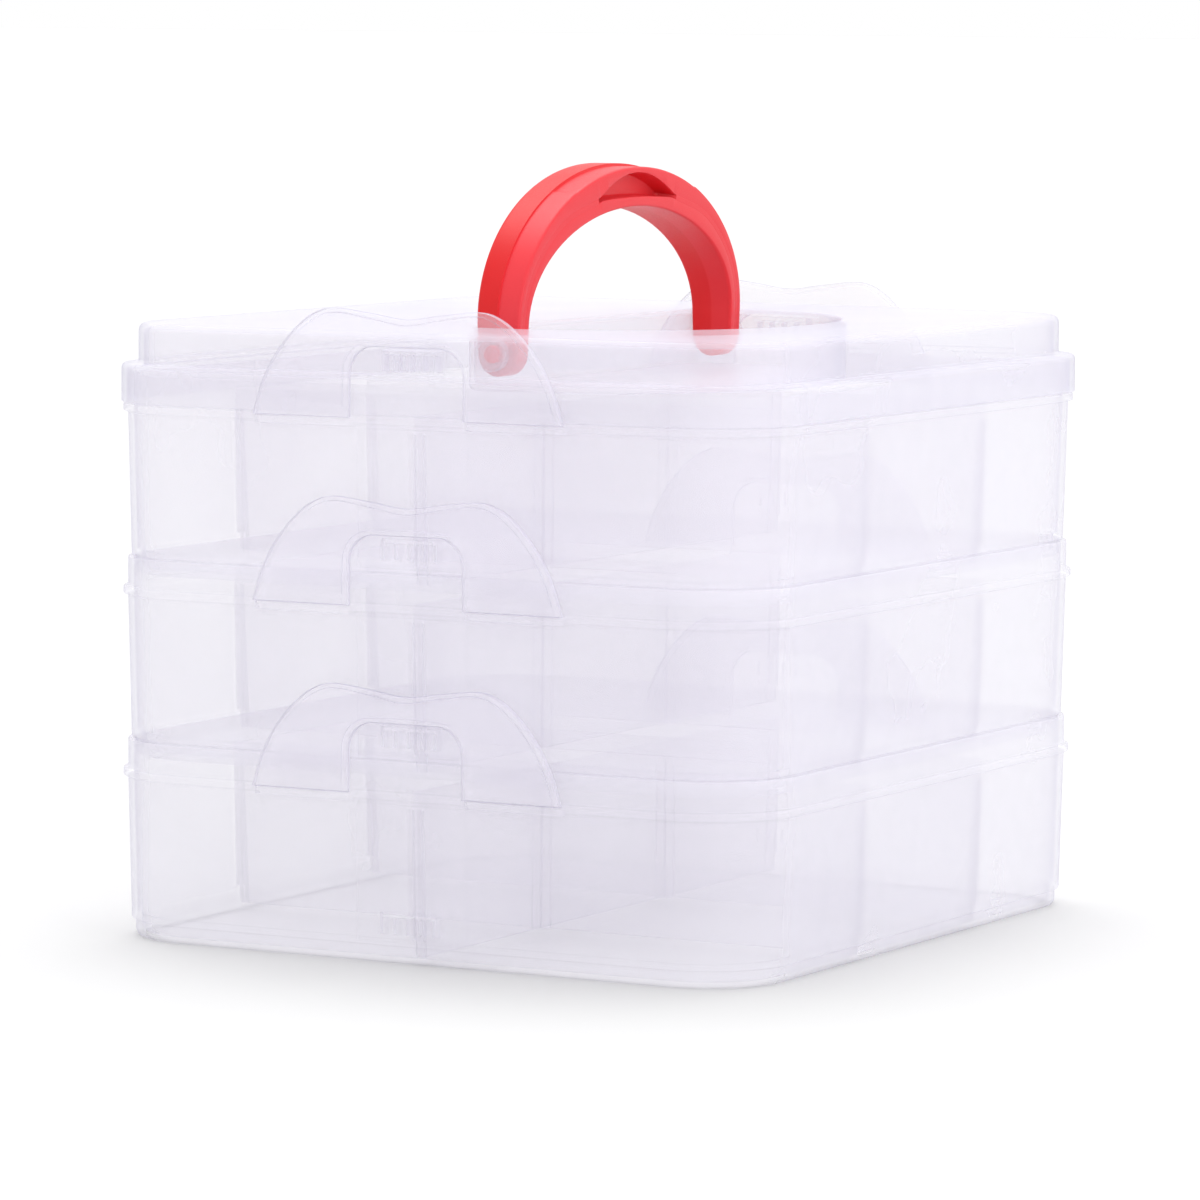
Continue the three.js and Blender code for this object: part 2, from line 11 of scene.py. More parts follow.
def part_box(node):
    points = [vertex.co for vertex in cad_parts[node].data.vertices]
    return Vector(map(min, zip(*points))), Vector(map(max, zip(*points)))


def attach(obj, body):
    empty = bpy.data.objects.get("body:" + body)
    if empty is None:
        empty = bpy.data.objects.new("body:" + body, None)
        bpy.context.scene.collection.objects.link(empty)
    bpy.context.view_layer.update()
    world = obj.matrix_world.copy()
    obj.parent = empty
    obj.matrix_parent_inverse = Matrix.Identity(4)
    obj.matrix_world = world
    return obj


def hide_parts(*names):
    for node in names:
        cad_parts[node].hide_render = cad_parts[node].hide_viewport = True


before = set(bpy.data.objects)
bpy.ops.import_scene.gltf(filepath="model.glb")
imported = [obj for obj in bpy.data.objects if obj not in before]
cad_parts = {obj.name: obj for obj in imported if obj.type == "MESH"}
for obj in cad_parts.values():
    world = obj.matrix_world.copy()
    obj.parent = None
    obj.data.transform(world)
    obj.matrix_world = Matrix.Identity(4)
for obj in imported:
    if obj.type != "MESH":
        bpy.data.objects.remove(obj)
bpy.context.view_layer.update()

bl_info = {
    "name": "Stacking Art Supply Box",
    "version": (1, 0, 0),
    "blender": (4, 5, 0),
    "location": "View3D > Sidebar > Art Box",
    "description": "Builds a clear three-tier craft box with latches, dividers, lid and carry handle",
    "category": "Add Mesh",
}

MM = 0.001
TIERS = ("bottom", "middle", "top")
ENDS = (("front", 1), ("back", -1))

# Outline of the box over its beads, and the places of the tiers, from the frame.
TRAY_LOW, TRAY_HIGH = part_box("tray_bottom")
LID_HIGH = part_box("lid")[1]
TIER_PITCH = (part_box("tray_middle")[0][2] - TRAY_LOW[2]) / MM
BOX_WIDTH = (TRAY_HIGH[0] - TRAY_LOW[0]) / MM
RAIL_REACH = 2.1
BOX_DEPTH = (TRAY_HIGH[1] - TRAY_LOW[1]) / MM - 2 * RAIL_REACH
RIM_TOP = (TRAY_HIGH[2] - TRAY_LOW[2]) / MM
LID_TOP = LID_HIGH[2] / MM
CORNER_RADIUS = 33.5
END_STRAIGHT = BOX_WIDTH / 2 - CORNER_RADIUS - 3.5
SIDE_STRAIGHT = BOX_DEPTH / 2 - CORNER_RADIUS - 3.0

# Tray section. An inset is a distance in millimetres inwards from the bead outline.
RIM_INSET = 1.6
WALL_INSET = 2.8
FOOT_INSET = 4.2
FOOT_HEIGHT = 6.0
SHELF_TOP = 8.0
BEAD_BOTTOM = RIM_TOP - 12.6
BEAD_TOP = RIM_TOP - 9.8
CAP_INSET = 12.0

# Pivot axis of the handle, which runs along Y.
PIVOT_X = 2.0
PIVOT_Z = LID_TOP - 8.6

# Lid section.
SKIRT_INNER = 1.2
SKIRT_OUTER = -0.6
SKIRT_BOTTOM = 2 * TIER_PITCH + BEAD_TOP + 0.3
SKIRT_TOP = SKIRT_BOTTOM + 13.1
PLATEAU_INSET = 5.1
POCKET_FLOOR = LID_TOP - 19.1
POCKET_HALF_SPAN = 81.0
POCKET_BACK = 9.0
POCKET_STRAIGHT = 9.0
POCKET_REACH = 66.0
POCKET_CENTRE = 30.0

# Small shapes on the walls.
LUG_Z = 10.4
LUG_HEIGHT = 7.0
LUG_HALF_WIDTH = 10.5
LUG_BAR = 1.6
LUG_RIBS = np.linspace(-9.75, 9.75, 5)
LUG_RIB_HALF = 0.75
PAD_HALF_WIDTH = 20.5
PAD_LOW, PAD_HIGH = 7.5, BEAD_BOTTOM - 1.5
RAIL_LOW, RAIL_HIGH = BEAD_TOP - 3.6, BEAD_TOP - 0.9
RAIL_NEAR, RAIL_FAR = 21.5, 57.5
SLOT_NEAR, SLOT_FAR = 1.1, 2.5
SLOT_TOP = TIER_PITCH - 10.0
LONG_DIVIDER_TOP = TIER_PITCH - 3.0
SHORT_DIVIDER_TOP = TIER_PITCH - 4.0
DIVIDER_Y = 44.0
DIVIDER_FOOT = 2.1
DIVIDER_GAP = 0.3
EDGE = 0.22

# Latch.
LATCH_FACE = BOX_DEPTH / 2 - SKIRT_OUTER + 0.5
LATCH_FOOT = BEAD_TOP - 0.6
LATCH_POINTS = (
    (57.5, 0), (54, 10.5), (48.8, 20), (41.5, 28.4), (34.5, 33.4), (27, 35.3), (13.5, 33.9), (0, 32.2))
WINDOW_HALF, WINDOW_TOP, WINDOW_RADIUS = 21.5, 23.2, 9.5

# Handle.
HANDLE_HALF_SPAN = 79.5
HANDLE_LEG = 9.0
HANDLE_RISE = 61.0
HANDLE_LEG_DEPTH = 8.0
HANDLE_CROWN_DEPTH = 14.4
RECESS_HALF_SPAN = 28.0
RECESS_HEIGHT = 9.2
RECESS_CAMBER = 1.2
GRIP_HALF_SPAN = 42.0
GRIP_STEP = 0.35
PIN_RADIUS = 3.0
PIN_REACH = 4.0
BOSS_RADIUS = 5.7
BOSS_BORE = 4.8
BOSS_REACH = 6.2

# Sizes of the surface patterns: flow clouds, ripples and mottle of the plastics, tool grain, paper fibre.
FLOW_CLOUD = 70.0
FLOW_RIPPLE = 6.0
RED_MOTTLE = 33.0
SATIN_GRAIN = 0.4
PAPER_FIBRE = 2.5
MOULDED_IOR = 1.49

# What the camera looks at.
VIEW_TARGET = Vector((-0.0018, -0.0010, 0.10934))


def srgb(hex_colour):
    """Linear red, green and blue of an sRGB hex value."""
    channels = [int(hex_colour[i:i + 2], 16) / 255 for i in (1, 3, 5)]
    return [c / 12.92 if c <= 0.04045 else ((c + 0.055) / 1.055) ** 2.4 for c in channels]


def mm(length):
    """A property's length in millimetres."""
    return length / MM


# ---------------------------------------------------------------- settings

def length(name, description, millimetres):
    """Length property with its default given in millimetres."""
    return FloatProperty(name=name, description=description, default=millimetres * MM,
                         min=0.0, precision=4, unit="LENGTH")


def share(name, description, default):
    """Property between 0 and 1."""
    return FloatProperty(name=name, description=description, default=default,
                         min=0.0, max=1.0, subtype="FACTOR")


def falloff(default):
    """Property for the power that the edge-on share is raised to."""
    return FloatProperty(name="Edge Falloff", description="How narrow the edge colour is",
                         default=default, min=0.5)


def colour(name, description, hex_colour):
    """Colour property with its default given as an sRGB hex value."""
    return FloatVectorProperty(name=name, description=description, default=srgb(hex_colour), size=3,
                               min=0.0, max=1.0, subtype="COLOR")


class ARTBOX_PG_trays(bpy.types.PropertyGroup):
    """Sizes and finish of the three trays"""
    skin: length("Wall", "Thickness of the tray walls", 2.0)
    floor: length("Floor", "Thickness of the tray floor", 1.8)
    pad_proud: length("Pad", "How far the flat pad stands out behind the latch", 0.5)
    rib_reach: length("Slot Ribs", "How far the ribs that hold the dividers stand in", 2.2)
    face: colour("Face Colour", "Colour of the plastic seen square on", "#F0EEF6")
    edge: colour("Edge Colour", "Colour of the plastic seen edge on", "#CBC8DC")
    haze: share("Haze", "How much a wall hides when seen square on", 0.2)
    edge_haze: share("Edge Haze", "How much a wall hides when seen edge on", 0.7)
    level_haze: share("Level Haze", "Share of the haze that is left on level faces", 0.45)
    edge_falloff: falloff(3.0)
    roughness: share("Roughness", "Roughness of the surface", 0.32)


class ARTBOX_PG_latches(bpy.types.PropertyGroup):
    """Sizes and finish of the flap latches"""
    skin: length("Plate", "Thickness of the flap between its ridges", 1.8)
    ridge: length("Ridge", "How far the ridge along the edges stands out", 0.9)
    ridge_width: length("Ridge Width", "Width of the ridge along the edges", 1.9)
    strip: length("Foot Strip", "Height of the solid strip over the hinge", 4.0)
    face: colour("Face Colour", "Colour of the plastic seen square on", "#F4F0FB")
    edge: colour("Edge Colour", "Colour of the plastic seen edge on", "#A3A1B8")
    haze: share("Haze", "How much a flap hides when seen square on", 0.15)
    edge_haze: share("Edge Haze", "How much a flap hides when seen edge on", 0.95)
    level_haze: share("Level Haze", "Share of the haze that is left on level faces", 1.0)
    edge_falloff: falloff(1.8)
    roughness: share("Roughness", "Roughness of the surface", 0.24)


class ARTBOX_PG_dividers(bpy.types.PropertyGroup):
    """Sizes and finish of the dividers"""
    skin: length("Sheet", "Thickness of a divider", 1.6)
    rib_reach: length("Ribs", "How far the ribs of the long dividers stand out", 2.2)
    face: colour("Face Colour", "Colour of the plastic seen square on", "#ECE8F3")
    edge: colour("Edge Colour", "Colour of the plastic seen edge on", "#D2CEE2")
    haze: share("Haze", "How much a sheet hides when seen square on", 0.15)
    edge_haze: share("Edge Haze", "How much a sheet hides when seen edge on", 0.45)
    level_haze: share("Level Haze", "Share of the haze that is left on level faces", 1.0)
    edge_falloff: falloff(3.0)
    roughness: share("Roughness", "Roughness of the surface", 0.38)


class ARTBOX_PG_lid(bpy.types.PropertyGroup):
    """Sizes and finish of the lid"""
    skin: length("Wall", "Thickness of the lid", 1.8)
    face: colour("Face Colour", "Colour of the plastic seen square on", "#EDEAF4")
    edge: colour("Edge Colour", "Colour of the plastic seen edge on", "#C0BED3")
    haze: share("Haze", "How much the lid hides when seen square on", 0.15)
    edge_haze: share("Edge Haze", "How much the lid hides when seen edge on", 0.8)
    level_haze: share("Level Haze", "Share of the haze that is left on level faces", 0.6)
    edge_falloff: falloff(2.6)
    roughness: share("Roughness", "Roughness of the surface", 0.34)


class ARTBOX_PG_handle(bpy.types.PropertyGroup):
    """Sizes and finish of the carry handle"""
    foot_width: length("Foot Width", "Width of the strap at its pivots", 15.0)
    crown_width: length("Crown Width", "Width of the strap at its top", 19.0)
    flange: length("Flange", "Thickness of the outer flange over the recess", 3.0)
    web: length("Web", "Thickness of the web between the two side recesses", 5.0)
    step: length("Step", "How much lower the right half of the outer face lies", 0.6)
    deep: colour("Deep Colour", "Darker red of the moulded plastic", "#D6080C")
    # The pale red is both the lighter tone of the random mottle and the painted highlight on the right half
    # of the handle.
    pale: colour("Pale Colour", "Lighter red of the moulded plastic", "#E83A44")
    roughness: share("Roughness", "Roughness of the satin surface", 0.42)


class ARTBOX_PG_stage(bpy.types.PropertyGroup):
    """Floor, lights and camera"""
    floor: colour("Floor", "Colour of the paper floor", "#D8D8D8")
    # Painted light: the floor under the box is painted this paler colour in place of the box's shadow, so the
    # box is lit from below.
    painted_underlight: colour("Card", "Colour of the card under the box, which lights it from below", "#F4F4F4")
    sky: FloatProperty(name="Sky", description="Strength of the white surroundings", default=1.0, min=0.0)
    sun: FloatProperty(name="Ceiling", description="Strength of the wide soft light overhead",
                       default=1.7, min=0.0)
    softbox: FloatProperty(name="Softbox", description="Power of the softbox on the right",
                           default=9.0, min=0.0, unit="POWER")
    azimuth: FloatProperty(name="Azimuth", description="Direction of the camera round the box",
                           default=math.radians(28.697), subtype="ANGLE", unit="ROTATION")
    elevation: FloatProperty(name="Elevation", description="Height of the camera as an angle",
                             default=math.radians(5.36), subtype="ANGLE", unit="ROTATION")
    roll: FloatProperty(name="Roll", description="Lean of the camera", default=math.radians(0.355),
                        subtype="ANGLE", unit="ROTATION")
    distance: FloatProperty(name="Distance", description="Distance of the camera",
                            default=2.2113, unit="LENGTH")
    lens: FloatProperty(name="Lens", description="Focal length in millimetres", default=194.58)


# ---------------------------------------------------------------- surfaces

def smooth(t):
    """Smoothstep of a share: 3 t squared less 2 t cubed, held to 0 and 1 outside."""
    t = np.clip(t, 0.0, 1.0)
    return t * t * (3.0 - 2.0 * t)


def band(value, low, high, soft=EDGE):
    """1 between two limits and 0 outside, with a smooth ramp of 2 x soft across each limit."""
    rise = smooth((value - low + soft) / (2 * soft))
    fall = smooth((high - value + soft) / (2 * soft))
    return rise * fall


def around(edges, soft=EDGE):
    """Four stations across each edge value, so that the ramps of band() have points to follow."""
    shifts = np.array((-1.25, -0.4, 0.4, 1.25)) * soft
    return (np.asarray(edges, float)[:, None] + shifts).ravel()


def rounded(points, radii, steps=5):
    """Polyline with its inner corners rounded.

    Each inner corner b becomes the quadratic curve (1-s)^2 p + 2s(1-s) b + s^2 q, where p and q
    lie one radius from b on its two sides. A point beyond p and one beyond q keep the flats flat.
    """
    points = np.asarray(points, float)
    s = np.linspace(0, 1, steps + 1)[:, None]
    runs = [points[:1]]
    for a, b, c, radius in zip(points[:-2], points[1:-1], points[2:], radii):
        to_a, to_c = a - b, c - b
        reach_a = min(radius, 0.45 * np.hypot(*to_a))
        reach_c = min(radius, 0.45 * np.hypot(*to_c))
        p = b + to_a / np.hypot(*to_a) * reach_a
        q = b + to_c / np.hypot(*to_c) * reach_c
        arc = (1 - s) ** 2 * p + 2 * s * (1 - s) * b + s ** 2 * q
        runs += [b + (p - b) * 1.1, arc, b + (q - b) * 1.1]
    runs.append(points[-1:])
    return np.vstack([np.atleast_2d(run) for run in runs])


def with_heights(section, heights):
    """Section whose heights never fall, with extra points at the given heights, on its own line."""
    inset = np.interp(heights, section[:, 1], section[:, 0])
    at = np.searchsorted(section[:, 1], heights, side="right")
    order = np.argsort(heights)
    return np.insert(section, at[order], np.column_stack((inset, heights))[order], axis=0)


def outline_columns(front_stations, side_stations, corner_steps=18):
    """Columns round the box: for each, a point on the bead outline and the outward normal there.

    A straight side is its stations at a constant distance, and a corner is centre + radius x (cos, sin).
    """
    half = np.array((BOX_WIDTH, BOX_DEPTH)) / 2
    turn = np.linspace(0, math.pi / 2, corner_steps + 1)
    points, normals = [], []
    for quarter in range(4):
        angle = quarter * math.pi / 2
        facing = np.array((math.cos(angle), math.sin(angle)))
        across = np.array((-facing[1], facing[0]))
        distance = abs(facing @ half)
        width = abs(across @ half)
        limit = width - CORNER_RADIUS - 1.0
        stations = side_stations if quarter % 2 == 0 else front_stations
        stations = stations[np.abs(stations) < limit]
        points.append(facing * distance + stations[:, None] * across)
        normals.append(np.repeat(facing[None], len(stations), axis=0))
        corner = facing * (distance - CORNER_RADIUS) + across * (width - CORNER_RADIUS)
        spoke = np.column_stack((np.cos(angle + turn), np.sin(angle + turn)))
        points.append(corner + CORNER_RADIUS * spoke)
        normals.append(spoke)
    return np.vstack(points), np.vstack(normals)


def make_object(name, vertices, faces, material, sharp=32.0):
    """Mesh object from arrays in metres, with faces out, smooth shading and sharp edges by angle."""
    mesh = bpy.data.meshes.new(name)
    mesh.from_pydata(vertices.tolist(), [], faces)
    if mesh.validate() or not mesh.polygons:
        raise RuntimeError(f"{name} did not come out as a clean mesh")
    mesh.polygons.foreach_set("use_smooth", np.ones(len(mesh.polygons), bool))
    mesh.set_sharp_from_angle(angle=math.radians(sharp))
    mesh.update()
    piece = bpy.data.objects.new(name, mesh)
    bpy.context.scene.collection.objects.link(piece)
    mesh.materials.append(material)
    return piece


def loft(loops):
    """Vertices and faces of closed loops joined in a row, each end closed by one flat face.

    loops is rows x columns x 3. The faces are turned to point out where the signed volume,
    the sum of p . (q x r) / 6 over triangles, comes out negative.
    """
    rows, columns = loops.shape[:2]
    start = np.arange(rows - 1)[:, None] * columns
    here = np.arange(columns)
    there = np.roll(here, -1)
    corners = (start + here, start + there, start + columns + there, start + columns + here)
    quads = np.stack(corners, axis=-1).reshape(-1, 4)
    vertices = loops.reshape(-1, 3)
    first = list(range(columns))[::-1]
    last = (np.arange(columns) + (rows - 1) * columns).tolist()
    a, b, c, d = (vertices[quads[:, i]] for i in range(4))
    volume = np.sum(a * np.cross(b, c)) + np.sum(a * np.cross(c, d))
    for cap in (first, last):
        ring = vertices[cap]
        centre = ring.mean(axis=0)
        volume += np.sum(centre * np.cross(ring, np.roll(ring, -1, axis=0)))
    faces = quads.tolist() + [first, last]
    if volume < 0:
        faces = [face[::-1] for face in faces]
    return vertices, faces


def combined(parts):
    """Vertices and faces of several lofts as one list."""
    vertices, faces, offset = [], [], 0
    for points, polygons in parts:
        vertices.append(points)
        faces += [[i + offset for i in polygon] for polygon in polygons]
        offset += len(points)
    return np.vstack(vertices), faces


def turned(vertices, half_turn):
    """Vertices as they are, or turned half round about the vertical axis."""
    return vertices * np.array((-1.0, -1.0, 1.0)) if half_turn else vertices


# ---------------------------------------------------------------- trays

def lug_share(across, height, base):
    """Share of the lug at a place: five upright ribs under one bar, on the centre line."""
    height = height - base
    ribs = sum(band(across, x - LUG_RIB_HALF, x + LUG_RIB_HALF) for x in LUG_RIBS)
    ribs = np.clip(ribs, 0, 1) * band(height, LUG_Z, LUG_Z + LUG_HEIGHT)
    bar = band(across, -LUG_HALF_WIDTH, LUG_HALF_WIDTH)
    bar = bar * band(height, LUG_Z + LUG_HEIGHT - LUG_BAR, LUG_Z + LUG_HEIGHT)
    return np.maximum(ribs, bar)


def mixed(inset, target, share):
    """Inset moved towards a target by a share."""
    return inset + (target - inset) * share


def tray_loops(size):
    """Loops of one tray, from its underside up the outside, over the rim and down to its floor.

    Each point is outline - inset x normal. The inset is the section's, moved out for the pad,
    the lug and the hinge rails on the two ends and moved in for the slot ribs inside.
    """
    skin, floor = mm(size.skin), mm(size.floor)
    outside = rounded(
        [(CAP_INSET, 0), (FOOT_INSET, 0), (FOOT_INSET, FOOT_HEIGHT), (WALL_INSET, FOOT_HEIGHT),
         (RIM_INSET, BEAD_BOTTOM), (0, BEAD_BOTTOM), (0, BEAD_TOP), (RIM_INSET, BEAD_TOP),
         (RIM_INSET, RIM_TOP), (RIM_INSET + skin / 2, RIM_TOP)],
        [3.0, 0.5, 0.8, 0.5, 0.9, 0.9, 0.5, 0.8], 6)
    outside[:, 1] = np.maximum.accumulate(outside[:, 1])
    lug_edges = (LUG_Z, LUG_Z + LUG_HEIGHT - LUG_BAR, LUG_Z + LUG_HEIGHT)
    turns = around((PAD_LOW, *lug_edges, PAD_HIGH, RAIL_LOW, RAIL_HIGH))
    outside = with_heights(outside, np.concatenate((turns, np.linspace(22, 48, 4))))
    inside = rounded(
        [(CAP_INSET, floor), (FOOT_INSET + skin, floor), (FOOT_INSET + skin, SHELF_TOP),
         (WALL_INSET + skin, SHELF_TOP), (RIM_INSET + skin, BEAD_BOTTOM), (RIM_INSET + skin, RIM_TOP),
         (RIM_INSET + skin / 2, RIM_TOP)],
        [2.4, 0.7, 0.7, 3.0, 0.8], 6)
    inside[:, 1] = np.maximum.accumulate(inside[:, 1])
    inside = with_heights(inside, np.concatenate((around((SLOT_TOP,)), np.linspace(14, 46, 5))))[::-1]

    rib_edges = np.concatenate((LUG_RIBS - LUG_RIB_HALF, LUG_RIBS + LUG_RIB_HALF))
    slot_edges = np.array((-SLOT_FAR, -SLOT_NEAR, SLOT_NEAR, SLOT_FAR))
    end_edges = np.concatenate((rib_edges, slot_edges, (-PAD_HALF_WIDTH, PAD_HALF_WIDTH),
                                (-RAIL_FAR, -RAIL_NEAR, RAIL_NEAR, RAIL_FAR)))
    side_edges = np.concatenate((slot_edges - DIVIDER_Y, slot_edges + DIVIDER_Y))
    front = np.concatenate((around(end_edges), np.linspace(-END_STRAIGHT, END_STRAIGHT, 9)))
    side = np.concatenate((around(side_edges), np.linspace(-SIDE_STRAIGHT, SIDE_STRAIGHT, 9)))
    points, normals = outline_columns(np.unique(front), np.unique(side))
    on_end = np.abs(normals[:, 1]) > 0.999
    on_side = np.abs(normals[:, 0]) > 0.999
    across = points[:, 0]
    along = points[:, 1]

    z = outside[:, 1][:, None]
    inset = np.repeat(outside[:, :1], len(points), axis=1)
    wall = np.interp(z, (FOOT_HEIGHT, BEAD_BOTTOM), (WALL_INSET, RIM_INSET))
    pad = on_end * band(across, -PAD_HALF_WIDTH, PAD_HALF_WIDTH) * band(z, PAD_LOW, PAD_HIGH)
    inset = mixed(inset, np.minimum(inset, wall - mm(size.pad_proud)), pad)
    inset = mixed(inset, np.minimum(inset, SKIRT_OUTER), on_end * lug_share(across, z, 0))
    rail = on_end * band(np.abs(across), RAIL_NEAR, RAIL_FAR) * band(z, RAIL_LOW, RAIL_HIGH)
    inset = mixed(inset, np.minimum(inset, -RAIL_REACH), rail)

    deep = inside[:, 1][:, None]
    hollow = np.repeat(inside[:, :1], len(points), axis=1)
    pairs = on_end * band(np.abs(across), SLOT_NEAR, SLOT_FAR)
    pairs = pairs + on_side * band(np.abs(np.abs(along) - DIVIDER_Y), SLOT_NEAR, SLOT_FAR)
    lean = (RIM_INSET - FOOT_INSET) * np.clip(deep / SLOT_TOP, 0, 1)
    reach = FOOT_INSET + skin + mm(size.rib_reach) + lean
    below = band(deep, -1, SLOT_TOP)
    hollow = mixed(hollow, np.maximum(hollow, reach), pairs * below)

    insets = np.vstack((inset, hollow))
    heights = np.concatenate((outside[:, 1], inside[:, 1]))
    flat = points[None] - insets[..., None] * normals[None]
    level = np.broadcast_to(heights[:, None, None], flat.shape[:2] + (1,))
    return np.concatenate((flat, level), axis=-1) * MM


# ---------------------------------------------------------------- lid

def pocket_curve(margin):
    """Closed D-shaped curve of the pocket, grown by a margin: a half ellipse closed by a straight back."""
    span = POCKET_HALF_SPAN + margin
    turn = np.linspace(-math.pi / 2, math.pi / 2, 240)
    bow = np.column_stack((POCKET_STRAIGHT + (POCKET_REACH + margin) * np.cos(turn), span * np.sin(turn)))
    back = -POCKET_BACK - margin
    corner = 3.0 + margin
    swing = np.linspace(0, math.pi / 2, 12)
    upper = np.column_stack((back + corner - corner * np.sin(swing),
                             span - corner + corner * np.cos(swing)))
    lower = upper[::-1] * (1, -1)
    return np.vstack((bow, upper, lower)) + (PIVOT_X, 0)


def pocket_loop(margin, toward):
    """Where rays from the pocket's centre towards the given points cross the pocket curve."""
    centre = np.array((POCKET_CENTRE, 0.0))
    curve = pocket_curve(margin)
    angle = np.arctan2(*(curve - centre).T[::-1])
    order = np.argsort(angle)
    wanted = np.arctan2(*(toward - centre).T[::-1])
    x = np.interp(wanted, angle[order], curve[order, 0], period=2 * math.pi)
    y = np.interp(wanted, angle[order], curve[order, 1], period=2 * math.pi)
    return np.column_stack((x, y))


def lid_loops(size):
    """Loops of the lid, from the pocket's floor over the top, down the skirt and back underneath.

    Pocket rows lie on the D-shaped curve at a margin. The other rows are outline - inset x normal,
    with the lug moved out to the skirt's face.
    """
    skin = mm(size.skin)
    deep = LID_TOP - skin
    upper = rounded([(-8, POCKET_FLOOR), (0, POCKET_FLOOR), (0, LID_TOP), (2.2, LID_TOP)], [2.2, 1.0], 6)
    section = rounded(
        [(PLATEAU_INSET + 8, LID_TOP), (PLATEAU_INSET, LID_TOP), (PLATEAU_INSET, SKIRT_TOP),
         (SKIRT_OUTER, SKIRT_TOP), (SKIRT_OUTER, SKIRT_BOTTOM), (SKIRT_INNER, SKIRT_BOTTOM),
         (SKIRT_INNER, SKIRT_TOP - skin),
         (PLATEAU_INSET + skin, SKIRT_TOP - skin), (PLATEAU_INSET + skin, deep), (PLATEAU_INSET + 9, deep)],
        [3.2, 1.4, 2.2, 0.6, 0.6, 1.2, 1.2, 2.0], 6)
    base = 3 * TIER_PITCH
    lug_edges = (base + LUG_Z, base + LUG_Z + LUG_HEIGHT - LUG_BAR, base + LUG_Z + LUG_HEIGHT)
    wall_end = int(np.argmax(section[:, 1] < SKIRT_TOP + 0.01))
    wall = with_heights(section[:wall_end][::-1], around(lug_edges))[::-1]
    section = np.vstack((wall, section[wall_end:]))
    lower = rounded([(4.0, deep), (skin, deep), (skin, POCKET_FLOOR - skin), (-8, POCKET_FLOOR - skin)],
                    [1.0, 2.6], 6)

    rib_edges = np.concatenate((LUG_RIBS - LUG_RIB_HALF, LUG_RIBS + LUG_RIB_HALF))
    # Stations stand closer where the rays through the pocket's back corners cross the outline.
    front = np.concatenate((
        around(rib_edges), np.linspace(-44, -26, 12), np.linspace(-END_STRAIGHT, END_STRAIGHT, 23)))
    points, normals = outline_columns(np.unique(front), np.linspace(-SIDE_STRAIGHT, SIDE_STRAIGHT, 29), 20)
    on_end = np.abs(normals[:, 1]) > 0.999

    z = section[:, 1][:, None]
    inset = np.repeat(section[:, :1], len(points), axis=1)
    on_wall = (np.arange(len(section)) < len(wall) + 2)[:, None]
    share = on_end * on_wall * lug_share(points[:, 0], z, base)
    inset = mixed(inset, np.minimum(inset, SKIRT_OUTER), share)
    rim = points[None] - inset[..., None] * normals[None]

    flat = np.concatenate((
        np.stack([pocket_loop(margin, points) for margin in upper[:, 0]]), rim,
        np.stack([pocket_loop(margin, points) for margin in lower[:, 0]])))
    heights = np.concatenate((upper[:, 1], section[:, 1], lower[:, 1]))
    level = np.broadcast_to(heights[:, None, None], flat.shape[:2] + (1,))
    return np.concatenate((flat, level), axis=-1) * MM


def boss_loops(side):
    """Round boss outside the pocket wall that takes a handle pin: a circle carried along Y."""
    start, end = POCKET_HALF_SPAN + 0.4, HANDLE_HALF_SPAN + BOSS_REACH
    corners = [(BOSS_BORE, start), (BOSS_RADIUS, start), (BOSS_RADIUS, end), (2.0, end)]
    section = rounded(corners, [0.2, 0.8], 5)
    turn = np.linspace(0, 2 * math.pi, 40, endpoint=False)
    radius, reach = section[:, :1], section[:, 1:]
    x = PIVOT_X + radius * np.cos(turn)
    z = PIVOT_Z + radius * np.sin(turn)
    y = side * np.repeat(reach, len(turn), axis=1)
    return np.stack((x, y, z), axis=-1) * MM


# ---------------------------------------------------------------- latches

def spline(points, count):
    """Catmull-Rom curve through the points, with equal parameter steps between them."""
    points = np.asarray(points, float)
    padded = np.vstack((2 * points[0] - points[1], points, 2 * points[-1] - points[-2]))
    t = np.linspace(0, 1, 24, endpoint=False)[None, :, None]
    a, b, c, d = (padded[i:len(padded) - 3 + i][:, None] for i in range(4))
    square, cube = 2 * a - 5 * b + 4 * c - d, 3 * b - a - 3 * c + d
    curve = 0.5 * (2 * b + (c - a) * t + square * t ** 2 + cube * t ** 3)
    curve = np.vstack((curve.reshape(-1, 2), points[-1:]))
    return evenly(curve, count)


def evenly(curve, count):
    """The same curve with a number of points at equal steps along its length."""
    length = np.concatenate(([0], np.cumsum(np.hypot(*np.diff(curve, axis=0).T))))
    at = np.linspace(0, length[-1], count)
    return np.column_stack([np.interp(at, length, curve[:, i]) for i in range(2)])


